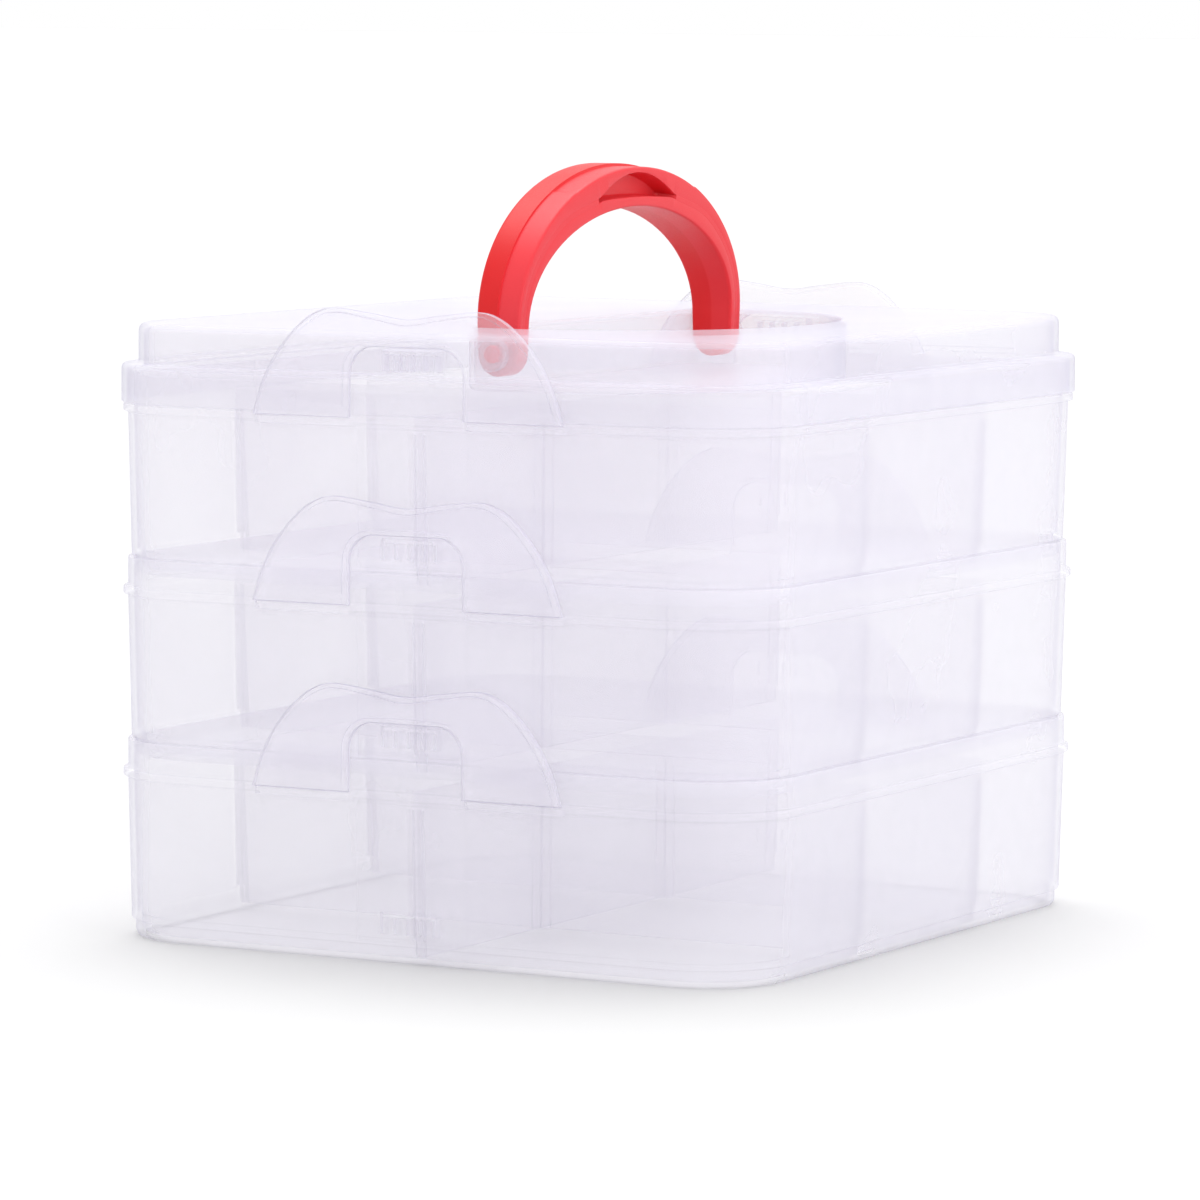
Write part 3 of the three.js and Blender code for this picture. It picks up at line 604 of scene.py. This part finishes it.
def latch_loops(size, count=161):
    """Sections of the flap from foot to foot, each running from the window edge to the wavy edge.

    A section is a plate with a rounded ridge along both edges. Its hollow middle fills up towards
    the feet, where the flap is one solid strip.
    """
    right = np.array(LATCH_POINTS, float)
    wavy = spline(np.vstack((right, right[-2::-1] * (-1, 1))), count)
    arc = np.linspace(0, math.pi / 2, 16)
    shoulder = np.column_stack((WINDOW_HALF - WINDOW_RADIUS + WINDOW_RADIUS * np.cos(arc),
                                WINDOW_TOP - WINDOW_RADIUS + WINDOW_RADIUS * np.sin(arc)))
    half = np.vstack(((WINDOW_HALF, 0), shoulder, (0, WINDOW_TOP)))
    window = evenly(np.vstack((half, half[-2::-1] * (-1, 1))), count)
    span = np.hypot(*(wavy - window).T)[:, None]
    reach = (wavy - window) / span

    ridge = mm(size.ridge_width)
    back, plate = LATCH_FACE, LATCH_FACE + mm(size.skin)
    crest = plate + mm(size.ridge)
    # Each station: share of the span, millimetres from there, how far out, and whether it may sink.
    stations = np.array((
        (0, 0.5, back, 0), (0, 0.15, back + 0.15, 0), (0, 0, back + 0.5, 0), (0, 0, crest - 0.6, 0),
        (0, 0.18, crest - 0.18, 0), (0, 0.6, crest, 0), (0, ridge - 0.5, crest, 0),
        (0, ridge - 0.1, crest - 0.2, 0), (0, ridge + 0.1, plate + 0.25, 1), (0, ridge + 0.5, plate, 1),
        (0.5, 0, plate, 1), (1, -ridge - 0.5, plate, 1), (1, -ridge - 0.1, plate + 0.25, 1),
        (1, -ridge + 0.1, crest - 0.2, 0), (1, -ridge + 0.5, crest, 0),
        (1, -0.6, crest, 0), (1, -0.18, crest - 0.18, 0), (1, 0, crest - 0.6, 0), (1, 0, back + 0.5, 0),
        (1, -0.15, back + 0.15, 0), (1, -0.5, back, 0), (0.5, 0, back, 0)))
    share, shift, out, sinks = stations.T
    distance = share[None] * span + shift[None]
    flat = window[:, None] + reach[:, None] * distance[..., None]
    lift = flat[..., 1]
    solid = 1 - smooth((lift - mm(size.strip) + 0.4) / 0.8)
    outward = out[None] + (crest - out[None]) * sinks[None] * solid
    return np.stack((flat[..., 0], -outward, lift + LATCH_FOOT), axis=-1) * MM


# ---------------------------------------------------------------- handle

def recess_span(outer, inward, depth, flange):
    """Where lines through the strap enter and leave the side recess, as depths from its outer face.

    The recess is the lens between z = top - height (y/half)^2 and
    z = top - height + camber (1 - (y/half)^2). Beyond its ends the two depths close in on each other.
    """
    reach = np.linspace(0, 1, 240)[None] * depth[:, None]
    y = outer[:, :1] + inward[:, :1] * reach
    z = outer[:, 1:] + inward[:, 1:] * reach
    bow = (y / RECESS_HALF_SPAN) ** 2
    top = HANDLE_RISE - flange
    inside = (z < top - RECESS_HEIGHT * bow) & (z > top - RECESS_HEIGHT + RECESS_CAMBER * (1 - bow))
    first = np.argmax(inside, axis=1)
    last = inside.shape[1] - 1 - np.argmax(inside[:, ::-1], axis=1)
    rows = np.arange(len(outer))
    hit = inside.any(axis=1)
    enter, leave = reach[rows, first], reach[rows, last]
    order = outer[:, 0]
    middle = np.interp(order[::-1], order[hit][::-1], ((enter + leave) / 2)[hit][::-1])[::-1]
    beyond = np.where(hit, 0.0, np.abs(order) - np.abs(order[hit]).max())
    middle = mixed(middle, depth / 2, smooth(beyond / 25.0))
    gap = np.maximum(np.where(hit, leave - enter, 0.0), 1.6)
    return middle - gap / 2, middle + gap / 2, np.abs(order[hit]).max()


def handle_loops(size):
    """Sections of the handle from pivot to pivot, each running round the strap.

    Outside and inside follow two half ellipses on straight legs, z = leg + height x sin, and
    y = half span x cos. The width grows evenly with height, and below the pivot it closes as
    the half circle x = sqrt(r^2 - z^2). Both sides have a lens-shaped recess under the outer
    flange, and the right half of the outer face lies a step lower, deeper still over the grip.
    """
    foot, crown, web = mm(size.foot_width) / 2, mm(size.crown_width) / 2, mm(size.web) / 2
    close = -foot * np.cos(np.linspace(math.radians(5), math.pi / 2, 14))
    leg = np.concatenate((close, np.linspace(1.5, HANDLE_LEG - 0.5, 4)))
    angle = np.linspace(0, math.pi, 201)
    rise = HANDLE_RISE - HANDLE_LEG
    outer_arc = np.column_stack((HANDLE_HALF_SPAN * np.cos(angle), HANDLE_LEG + rise * np.sin(angle)))
    inner_half = HANDLE_HALF_SPAN - HANDLE_LEG_DEPTH
    inner_rise = rise - HANDLE_CROWN_DEPTH
    inner_arc = np.column_stack((inner_half * np.cos(angle), HANDLE_LEG + inner_rise * np.sin(angle)))
    right_leg = np.column_stack((np.ones_like(leg), leg))
    left_leg = (right_leg * (-1, 1))[::-1]
    outer = np.vstack((right_leg * (HANDLE_HALF_SPAN, 1), outer_arc, left_leg * (HANDLE_HALF_SPAN, 1)))
    inner = np.vstack((right_leg * (inner_half, 1), inner_arc, left_leg * (inner_half, 1)))
    height = outer[:, 1]
    half = foot + (crown - foot) * np.clip(height, 0, None) / HANDLE_RISE
    below = np.clip(height, None, 0)
    half = np.where(height < 0, np.sqrt(np.maximum(foot ** 2 - below ** 2, 0.05)), half)
    depth = np.hypot(*(inner - outer).T)
    inward = (inner - outer) / depth[:, None]
    enter, leave, tip = recess_span(outer, inward, depth, mm(size.flange))
    recess = (half - web) * smooth((tip - np.abs(outer[:, 0])) / 3.0)

    # Stations of one side: share of the half width, share of the recess, millimetres in from the side,
    # the face it is measured from (outer, recess top, recess bottom, inner), and millimetres deeper.
    side = np.array((
        (0, 0, -0.12, 0, 0), (0, 0, -0.5, 0, 0), (0.5, 0, 0, 0, 0), (1, 0, 1.5, 0, 0),
        (1, 0, 0.8, 0, 0.03), (1, 0, 0.32, 0, 0.2), (1, 0, 0.08, 0, 0.5), (1, 0, 0, 0, 0.9),
        (1, 0, 0, 1, -0.7), (1, 0.02, 0.04, 1, -0.2), (1, 0.1, 0, 1, 0), (1, 0.9, 0, 1, 0.3),
        (1, 0.98, 0, 1, 0.7), (1, 1, 0, 1, 1.3), (1, 1, 0, 2, -1.3), (1, 0.98, 0, 2, -0.7),
        (1, 0.9, 0, 2, -0.3), (1, 0.1, 0, 2, 0), (1, 0.02, 0.04, 2, 0.2), (1, 0, 0, 2, 0.6),
        (1, 0, 0, 3, -0.9), (1, 0, 0.08, 3, -0.5), (1, 0, 0.32, 3, -0.2), (1, 0, 0.8, 3, -0.03),
        (1, 0, 1.5, 3, 0), (0.5, 0, 0, 3, 0)))
    width, dip, shy, face, shift = side.T
    narrow = np.clip(half / foot, 0, 1)[:, None]
    x = width[None] * half[:, None] - dip[None] * recess[:, None] - shy[None] * narrow
    faces = np.stack((np.zeros_like(depth), enter, leave, depth), axis=1)
    on_recess = (face == 1) | (face == 2)
    tight = np.where(on_recess[None], np.clip((leave - enter) / 6.0, 0.2, 1.0)[:, None], 1.0)
    plain = faces[:, face.astype(int)] + shift[None] * tight
    grip = 1 - smooth((np.abs(outer[:, 0]) - GRIP_HALF_SPAN) / 0.4)
    drop = mm(size.step) + GRIP_STEP * grip[:, None]
    lower = plain + np.where(face[None] == 0, drop, 0.0)
    across = np.concatenate((x, -x[:, ::-1]), axis=1) + PIVOT_X
    deep = np.concatenate((lower, plain[:, ::-1]), axis=1)
    place = outer[:, None] + inward[:, None] * deep[..., None]
    return np.stack((across, place[..., 0], place[..., 1] + PIVOT_Z), axis=-1) * MM


def pin_loops(side):
    """Pivot pin with a rounded end: a circle carried along Y out of the leg."""
    root, tip = HANDLE_HALF_SPAN - 2, HANDLE_HALF_SPAN + PIN_REACH
    section = rounded([(1.5, root), (PIN_RADIUS, root), (PIN_RADIUS, tip), (1.2, tip)], [0.2, 0.7], 5)
    turn = np.linspace(0, 2 * math.pi, 32, endpoint=False)
    x = PIVOT_X + section[:, :1] * np.cos(turn)
    z = PIVOT_Z + section[:, :1] * np.sin(turn)
    y = side * np.repeat(section[:, 1:], len(turn), axis=1)
    return np.stack((x, y, z), axis=-1) * MM


# ---------------------------------------------------------------- dividers

def wall_reach(half_size, z, skin):
    """Half length of a divider at a height, so that it clears the inside of the wall by its gap.

    Its lower corners are quarter circles, foot - r + sqrt(r^2 - below^2), and it widens over the shelf.
    """
    gap = DIVIDER_GAP
    foot = half_size - FOOT_INSET - skin - gap
    low = half_size - WALL_INSET - skin - gap
    high = half_size - RIM_INSET - skin - gap
    corner = 2.4
    under = np.clip(DIVIDER_FOOT + corner - z, 0, corner)
    near_floor = foot - corner + np.sqrt(np.maximum(corner ** 2 - under ** 2, 0))
    upper = np.interp(z, (SHELF_TOP + gap, BEAD_BOTTOM), (low, high))
    return mixed(near_floor, upper, smooth((z - SHELF_TOP - gap) / 0.3))


def divider_heights(top):
    """Heights of a divider's loops, close together where its outline turns."""
    low = DIVIDER_FOOT
    shelf = SHELF_TOP + np.array((-2.0, 0.0, 0.3, 0.38, 0.46, 0.54, 0.62, 1.2))
    return np.concatenate((
        (low, low + 0.15, low + 0.4), np.linspace(low + 0.8, low + 2.6, 5), shelf, np.linspace(14, 48, 6),
        around((SLOT_TOP,)), (BEAD_BOTTOM, top - 1.0, top - 0.5, top - 0.2, top)))


def edge_round(z, low, high, radius=0.4):
    """How far a face draws in near the top and bottom edge: a quarter circle of the radius."""
    near = np.minimum(z - low, high - z)
    return radius - np.sqrt(np.maximum(radius ** 2 - np.clip(radius - near, 0, radius) ** 2, 0))


def long_divider_loops(size, tray_skin):
    """Long divider at y = 0: a plate between the side walls with a pair of ribs on both faces."""
    z = divider_heights(LONG_DIVIDER_TOP)[:, None]
    half = wall_reach(BOX_WIDTH / 2, z, tray_skin)
    draw = edge_round(z, z.min(), z.max())
    edges = around(np.array((-SLOT_FAR, -SLOT_NEAR, SLOT_NEAR, SLOT_FAR)))
    inner = np.sort(np.concatenate((edges, (-40, -20, 0, 20, 40))))
    ends = np.array((0.5, 0.2, 0.05, 0.0))
    rib = band(np.abs(inner), SLOT_NEAR, SLOT_FAR) * mm(size.rib_reach)
    ribs = rib[None] * band(z, -5, SLOT_TOP)
    thick = mm(size.skin) / 2 - draw
    face_x = np.repeat(inner[None], len(z), axis=0)
    right_x = half - draw - ends[None]
    right_y = thick - np.array((0.0, 0.1, 0.35, 0.6))[None]
    face_y = thick + ribs
    x = np.concatenate((
        face_x, right_x, right_x[:, ::-1], face_x[:, ::-1], -right_x, -right_x[:, ::-1]), axis=1)
    y = np.concatenate((
        face_y, right_y, -right_y[:, ::-1], -face_y[:, ::-1], -right_y, right_y[:, ::-1]), axis=1)
    return np.stack((x, y, np.broadcast_to(z, x.shape)), axis=-1) * MM


def short_divider_loops(size, tray_skin, start, half_size=None):
    """Short divider in the plane x = 0, from y = start to a wall, or to -start where half_size is None."""
    z = divider_heights(SHORT_DIVIDER_TOP)[:, None]
    draw = edge_round(z, z.min(), z.max())
    end = wall_reach(half_size, z, tray_skin) if half_size else np.full_like(z, -start)
    ends = np.array((0.5, 0.2, 0.05, 0.0))
    sides = mm(size.skin) / 2 - draw - np.array((0.0, 0.1, 0.35, 0.6))[None]
    far = end - draw - ends[None]
    near = start + draw + ends[None]
    y = np.concatenate((far, far[:, ::-1], near, near[:, ::-1]), axis=1)
    x = np.concatenate((sides, -sides[:, ::-1], -sides, sides[:, ::-1]), axis=1)
    return np.stack((x, y, np.broadcast_to(z, x.shape)), axis=-1) * MM


# ---------------------------------------------------------------- materials

def add_node(tree, kind, inputs=(), **settings):
    """Adds a node, sets its properties, and sets or links its inputs by name or number."""
    node = tree.nodes.new(kind)
    for key, value in settings.items():
        setattr(node, key, value)
    for key, value in dict(inputs).items():
        if isinstance(value, bpy.types.NodeSocket):
            tree.links.new(value, node.inputs[key])
        else:
            node.inputs[key].default_value = value
    return node


def pattern_scale(size):
    """Scale of a noise whose patches are about the given number of millimetres across: 1 / size in metres."""
    return 1 / (size * MM)


def new_material(name):
    """Empty node material with its output and the piece's Object coordinates."""
    material = bpy.data.materials.new(name)
    material.use_nodes = True
    tree = material.node_tree
    tree.nodes.clear()
    output = add_node(tree, "ShaderNodeOutputMaterial")
    coordinates = add_node(tree, "ShaderNodeTexCoord")
    return material, tree, output, coordinates


def clear_polypropylene(name, look):
    """Clear injection-moulded polypropylene: slightly milky, so it shows what is behind it through a
    pale haze, and it gathers colour where the sheet is seen edge on. Faint flow clouds run through it."""
    material, tree, output, coordinates = new_material(name)
    place = coordinates.outputs["Object"]
    cloud = add_node(tree, "ShaderNodeTexNoise", {
        "Vector": place, "Scale": pattern_scale(FLOW_CLOUD), "Detail": 3.0}).outputs[0]
    facing = add_node(tree, "ShaderNodeLayerWeight", {"Blend": 0.5}).outputs["Facing"]
    edge = add_node(tree, "ShaderNodeMath", {0: facing, 1: look.edge_falloff}, operation="POWER").outputs[0]
    # Floors and the lid's top cool slowly between flat steel faces, so they are clearer than the walls.
    upright = add_node(tree, "ShaderNodeSeparateXYZ", {0: coordinates.outputs["Normal"]}).outputs["Z"]
    level = add_node(tree, "ShaderNodeMath", {0: upright}, operation="ABSOLUTE").outputs[0]
    clear = add_node(tree, "ShaderNodeMapRange", {
        "Value": level, "From Min": 0.5, "From Max": 1.0,
        "To Min": 1.0, "To Max": look.level_haze}).outputs[0]
    part = add_node(tree, "ShaderNodeMath", {0: edge, 1: clear}, operation="MULTIPLY").outputs[0]
    tint = add_node(tree, "ShaderNodeMix", {
        "Factor": part, 6: (*look.face, 1), 7: (*look.edge, 1)}, data_type="RGBA").outputs[2]
    haze = add_node(tree, "ShaderNodeMapRange", {
        "Value": edge, "To Min": look.haze, "To Max": look.edge_haze}).outputs[0]
    drift = add_node(tree, "ShaderNodeMapRange", {
        "Value": cloud, "From Min": 0.35, "From Max": 0.65, "To Min": -0.03, "To Max": 0.03}).outputs[0]
    alpha = add_node(tree, "ShaderNodeMath", {0: haze, 1: drift}, operation="ADD", use_clamp=True).outputs[0]
    alpha = add_node(tree, "ShaderNodeMath", {0: alpha, 1: clear}, operation="MULTIPLY").outputs[0]
    gloss = add_node(tree, "ShaderNodeMapRange", {
        "Value": cloud, "From Min": 0.3, "From Max": 0.7,
        "To Min": look.roughness - 0.05, "To Max": look.roughness + 0.07}).outputs[0]
    # The ripple is too shallow to see by itself: it only breaks the lights' reflections.
    ripple = add_node(tree, "ShaderNodeTexNoise", {
        "Vector": place, "Scale": pattern_scale(FLOW_RIPPLE), "Detail": 2.0}).outputs[0]
    bump = add_node(tree, "ShaderNodeBump", {
        "Height": ripple, "Strength": 0.05, "Distance": 0.2 * MM}).outputs[0]
    shader = add_node(tree, "ShaderNodeBsdfPrincipled", {
        "Base Color": tint, "Roughness": gloss, "Alpha": alpha, "Normal": bump, "IOR": MOULDED_IOR})
    tree.links.new(shader.outputs[0], output.inputs["Surface"])
    return material


def red_polypropylene(look):
    """Opaque red injection-moulded polypropylene: a satin skin from the fine grain of the tool, so its
    highlights are wide and dull, and a faint mottle where the pigment flowed unevenly."""
    material, tree, output, coordinates = new_material("red_satin_polypropylene")
    place = coordinates.outputs["Object"]
    cloud = add_node(tree, "ShaderNodeTexNoise", {
        "Vector": place, "Scale": pattern_scale(RED_MOTTLE), "Detail": 3.0}).outputs[0]
    grain = add_node(tree, "ShaderNodeTexNoise", {
        "Vector": place, "Scale": pattern_scale(SATIN_GRAIN), "Detail": 2.0}).outputs[0]
    # Painted highlight: the right half of the handle, with its right side faces, is painted a paler red as if
    # the softbox on the right lit it, and the inward faces keep less of that paler red, a painted shade on
    # the inner face.
    across = add_node(tree, "ShaderNodeSeparateXYZ", {0: place}).outputs["X"]
    half = add_node(tree, "ShaderNodeMapRange", {
        "Value": across, "From Min": (PIVOT_X - 0.3) * MM, "From Max": (PIVOT_X + 0.3) * MM,
        "To Min": 0.0, "To Max": 0.7}).outputs[0]
    pivot = (PIVOT_X * MM, 0.0, PIVOT_Z * MM)
    spoke = add_node(tree, "ShaderNodeVectorMath", {0: place, 1: pivot}, operation="SUBTRACT").outputs[0]
    outwards = add_node(tree, "ShaderNodeVectorMath", {0: spoke, 1: coordinates.outputs["Normal"]},
                        operation="DOT_PRODUCT").outputs["Value"]
    # Share of the painted highlight that a face keeps: all of it on faces turned away from the pivot, less on
    # the inner faces.
    outer_highlight_share = add_node(tree, "ShaderNodeMapRange", {
        "Value": outwards, "From Min": -30 * MM, "From Max": -10 * MM,
        "To Min": 0.45, "To Max": 1.0}).outputs[0]
    half = add_node(tree, "ShaderNodeMath", {0: half, 1: outer_highlight_share}, operation="MULTIPLY").outputs[0]
    mottle = add_node(tree, "ShaderNodeMapRange", {
        "Value": cloud, "From Min": 0.3, "From Max": 0.7, "To Min": 0.0, "To Max": 0.15}).outputs[0]
    part = add_node(tree, "ShaderNodeMath", {0: half, 1: mottle}, operation="ADD").outputs[0]
    tint = add_node(tree, "ShaderNodeMix", {
        "Factor": part, 6: (*look.deep, 1), 7: (*look.pale, 1)}, data_type="RGBA").outputs[2]
    gloss = add_node(tree, "ShaderNodeMapRange", {
        "Value": grain, "From Min": 0.3, "From Max": 0.7,
        "To Min": look.roughness - 0.07, "To Max": look.roughness + 0.07}).outputs[0]
    bump = add_node(tree, "ShaderNodeBump", {
        "Height": grain, "Strength": 0.25, "Distance": 0.1 * MM}).outputs[0]
    shader = add_node(tree, "ShaderNodeBsdfPrincipled", {
        "Base Color": tint, "Roughness": gloss, "Normal": bump, "IOR": MOULDED_IOR,
        "Specular IOR Level": 0.35})
    tree.links.new(shader.outputs[0], output.inputs["Surface"])
    return material


def white_paper(look):
    """Matt white paper: no gloss, and a faint mottle of the fibres. Under the box it is painted whiter, a
    painted pool of light where the box's shadow falls, which lights the box from below: |p| - (half size -
    r), held over 0, is shorter there than the corner radius r."""
    material, tree, output, coordinates = new_material("white_paper_sweep")
    place = coordinates.outputs["Object"]
    fibre = add_node(tree, "ShaderNodeTexNoise", {
        "Vector": place, "Scale": pattern_scale(PAPER_FIBRE), "Detail": 2.0}).outputs[0]
    rough = add_node(tree, "ShaderNodeMapRange", {
        "Value": fibre, "To Min": 0.86, "To Max": 0.96}).outputs[0]
    straight = np.array((BOX_WIDTH, BOX_DEPTH)) / 2 - CORNER_RADIUS
    mirrored = add_node(tree, "ShaderNodeVectorMath", {0: place}, operation="ABSOLUTE").outputs[0]
    beyond = add_node(tree, "ShaderNodeVectorMath", {0: mirrored, 1: (*(straight * MM), 0)},
                      operation="SUBTRACT").outputs[0]
    beyond = add_node(tree, "ShaderNodeVectorMath", {0: beyond, 1: (0, 0, 0)}, operation="MAXIMUM").outputs[0]
    reach = add_node(tree, "ShaderNodeVectorMath", {0: beyond}, operation="LENGTH").outputs["Value"]
    outline = CORNER_RADIUS - FOOT_INSET
    # Painted light: inside the box's footprint the floor is mixed to the paler colour, painted where the
    # box's shadow would fall.
    painted_underlight = add_node(tree, "ShaderNodeMapRange", {
        "Value": reach, "From Min": (outline - 8) * MM, "From Max": (outline - 3) * MM,
        "To Min": 1.0, "To Max": 0.0}).outputs[0]
    tint = add_node(tree, "ShaderNodeMix", {
        "Factor": painted_underlight, 6: (*look.floor, 1), 7: (*look.painted_underlight, 1)}, data_type="RGBA").outputs[2]
    shader = add_node(tree, "ShaderNodeBsdfPrincipled", {
        "Base Color": tint, "Roughness": rough, "Specular IOR Level": 0.1})
    tree.links.new(shader.outputs[0], output.inputs["Surface"])
    return material


# ---------------------------------------------------------------- pieces

def add_piece(name, parts, material, body, node, lift=0.0, half_turn=False, slide=0.0):
    """One finished piece from lofts: placed, given its material, and set to ride on its body."""
    vertices, faces = combined(parts)
    vertices = turned(vertices, half_turn) + np.array((0.0, slide, lift)) * MM
    piece = make_object(name, vertices, faces, material)
    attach(piece, body)
    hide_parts(node)
    return piece


class ARTBOX_OT_trays(bpy.types.Operator):
    """Adds the three trays"""
    bl_idname = "artbox.trays"
    bl_label = "Add Trays"

    def execute(self, context):
        size = context.scene.artbox_trays
        plastic = clear_polypropylene("clear_tray_polypropylene", size)
        shape = loft(tray_loops(size))
        for index, tier in enumerate(TIERS):
            add_piece(f"{tier}_tray_shell", [shape], plastic, f"{tier}_tray", f"tray_{tier}",
                      index * TIER_PITCH)
        return {"FINISHED"}


class ARTBOX_OT_latches(bpy.types.Operator):
    """Adds the flap latches, front and back"""
    bl_idname = "artbox.latches"
    bl_label = "Add Latches"

    def execute(self, context):
        size = context.scene.artbox_latches
        plastic = clear_polypropylene("clear_latch_polypropylene", size)
        shape = loft(latch_loops(size))
        for index, tier in enumerate(TIERS):
            for end, side in ENDS:
                node = f"latch_{tier}_{end}"
                add_piece(f"{tier}_{end}_flap", [shape], plastic, node, node,
                          index * TIER_PITCH, side < 0)
        return {"FINISHED"}


class ARTBOX_OT_dividers(bpy.types.Operator):
    """Adds the long and the short dividers"""
    bl_idname = "artbox.dividers"
    bl_label = "Add Dividers"

    def execute(self, context):
        size = context.scene.artbox_dividers
        tray_skin = mm(context.scene.artbox_trays.skin)
        plastic = clear_polypropylene("clear_divider_polypropylene", size)
        clear = mm(size.skin) / 2 + DIVIDER_GAP
        long_shape = loft(long_divider_loops(size, tray_skin))
        end_shape = loft(short_divider_loops(size, tray_skin, DIVIDER_Y + clear, BOX_DEPTH / 2))
        middle_shape = loft(short_divider_loops(size, tray_skin, clear - DIVIDER_Y))
        for index, tier in enumerate(TIERS):
            body, lift = f"{tier}_tray", index * TIER_PITCH
            for end, side in ENDS:
                add_piece(f"{tier}_{end}_long_sheet", [long_shape], plastic, body,
                          f"divider_{tier}_long_{end}", lift, slide=-side * DIVIDER_Y)
                add_piece(f"{tier}_{end}_cross_sheet", [end_shape], plastic, body,
                          f"divider_{tier}_cross_{end}", lift, side > 0)
            add_piece(f"{tier}_middle_cross_sheet", [middle_shape], plastic, body,
                      f"divider_{tier}_cross_middle", lift)
        return {"FINISHED"}


class ARTBOX_OT_lid(bpy.types.Operator):
    """Adds the lid with its handle pocket"""
    bl_idname = "artbox.lid"
    bl_label = "Add Lid"

    def execute(self, context):
        size = context.scene.artbox_lid
        plastic = clear_polypropylene("clear_lid_polypropylene", size)
        parts = [loft(lid_loops(size)), loft(boss_loops(-1)), loft(boss_loops(1))]
        add_piece("lid_shell", parts, plastic, "lid", "lid")
        return {"FINISHED"}


class ARTBOX_OT_handle(bpy.types.Operator):
    """Adds the carry handle with its pivot pins"""
    bl_idname = "artbox.handle"
    bl_label = "Add Handle"

    def execute(self, context):
        size = context.scene.artbox_handle
        parts = [loft(handle_loops(size)), loft(pin_loops(-1)), loft(pin_loops(1))]
        add_piece("handle_strap", parts, red_polypropylene(size), "handle", "handle")
        return {"FINISHED"}


class ARTBOX_OT_stage(bpy.types.Operator):
    """Adds the floor, the lights and the camera"""
    bl_idname = "artbox.stage"
    bl_label = "Add Stage"

    def execute(self, context):
        scene = context.scene
        look = scene.artbox_stage
        mesh = bpy.data.meshes.new("studio_floor")
        reach = 40.0
        corners = [(-reach, -reach, 0), (reach, -reach, 0), (reach, reach, 0), (-reach, reach, 0)]
        mesh.from_pydata(corners, [], [(0, 1, 2, 3)])
        floor = bpy.data.objects.new("studio_floor", mesh)
        scene.collection.objects.link(floor)
        mesh.materials.append(white_paper(look))

        world = bpy.data.worlds.new("white_studio")
        scene.world = world
        world.use_nodes = True
        background = world.node_tree.nodes["Background"]
        background.inputs["Color"].default_value = (1, 1, 1, 1)
        background.inputs["Strength"].default_value = look.sky

        ceiling = bpy.data.lights.new("ceiling_light", "SUN")
        ceiling.energy = look.sun
        ceiling.angle = math.radians(50)
        softbox = bpy.data.lights.new("right_softbox", "AREA")
        softbox.size = 1.2
        softbox.energy = look.softbox
        for lamp, place_at in ((ceiling, (-0.35, 0.6, 2.0)), (softbox, (2.0, -0.5, 0.9))):
            holder = bpy.data.objects.new(lamp.name, lamp)
            holder.location = place_at
            holder.rotation_euler = (VIEW_TARGET - Vector(place_at)).to_track_quat("-Z", "Y").to_euler()
            scene.collection.objects.link(holder)

        toward = Vector((-math.sin(look.azimuth) * math.cos(look.elevation),
                         math.cos(look.azimuth) * math.cos(look.elevation), -math.sin(look.elevation)))
        camera_data = bpy.data.cameras.new("view_camera")
        camera_data.lens = look.lens
        camera_data.sensor_width = 36.0
        camera_data.clip_end = 200.0
        camera = bpy.data.objects.new("view_camera", camera_data)
        turn = toward.to_track_quat("-Z", "Y").to_matrix().to_4x4()
        lean = Matrix.Rotation(look.roll, 4, "Z")
        camera.matrix_world = Matrix.Translation(VIEW_TARGET - toward * look.distance) @ turn @ lean
        scene.collection.objects.link(camera)
        scene.camera = camera

        scene.view_settings.view_transform = "Standard"
        scene.cycles.transparent_max_bounces = 64
        scene.cycles.max_bounces = 6
        return {"FINISHED"}


class ARTBOX_PT_panel(bpy.types.Panel):
    """Lists the operators in the sidebar"""
    bl_label = "Art Box"
    bl_idname = "ARTBOX_PT_panel"
    bl_space_type = "VIEW_3D"
    bl_region_type = "UI"
    bl_category = "Art Box"

    def draw(self, context):
        for operator, name in zip(OPERATORS, SETTINGS):
            box = self.layout.box()
            box.operator(operator.bl_idname)
            settings = getattr(context.scene, name)
            for key in settings.bl_rna.properties.keys():
                if key not in ("rna_type", "name"):
                    box.prop(settings, key)


OPERATORS = (ARTBOX_OT_trays, ARTBOX_OT_latches, ARTBOX_OT_dividers, ARTBOX_OT_lid, ARTBOX_OT_handle,
             ARTBOX_OT_stage)
SETTINGS = {
    "artbox_trays": ARTBOX_PG_trays,
    "artbox_latches": ARTBOX_PG_latches,
    "artbox_dividers": ARTBOX_PG_dividers,
    "artbox_lid": ARTBOX_PG_lid,
    "artbox_handle": ARTBOX_PG_handle,
    "artbox_stage": ARTBOX_PG_stage,
}
CLASSES = tuple(SETTINGS.values()) + OPERATORS + (ARTBOX_PT_panel,)


def register():
    """Registers the classes and hangs the settings on the scene."""
    for cls in CLASSES:
        bpy.utils.register_class(cls)
    for name, group in SETTINGS.items():
        setattr(bpy.types.Scene, name, PointerProperty(type=group))


def unregister():
    """Takes back what register() did."""
    for name in SETTINGS:
        delattr(bpy.types.Scene, name)
    for cls in reversed(CLASSES):
        bpy.utils.unregister_class(cls)


def main():
    register()
    bpy.ops.artbox.trays()
    bpy.ops.artbox.latches()
    bpy.ops.artbox.dividers()
    bpy.ops.artbox.lid()
    bpy.ops.artbox.handle()
    bpy.ops.artbox.stage()


if __name__ == "__main__":
    main()
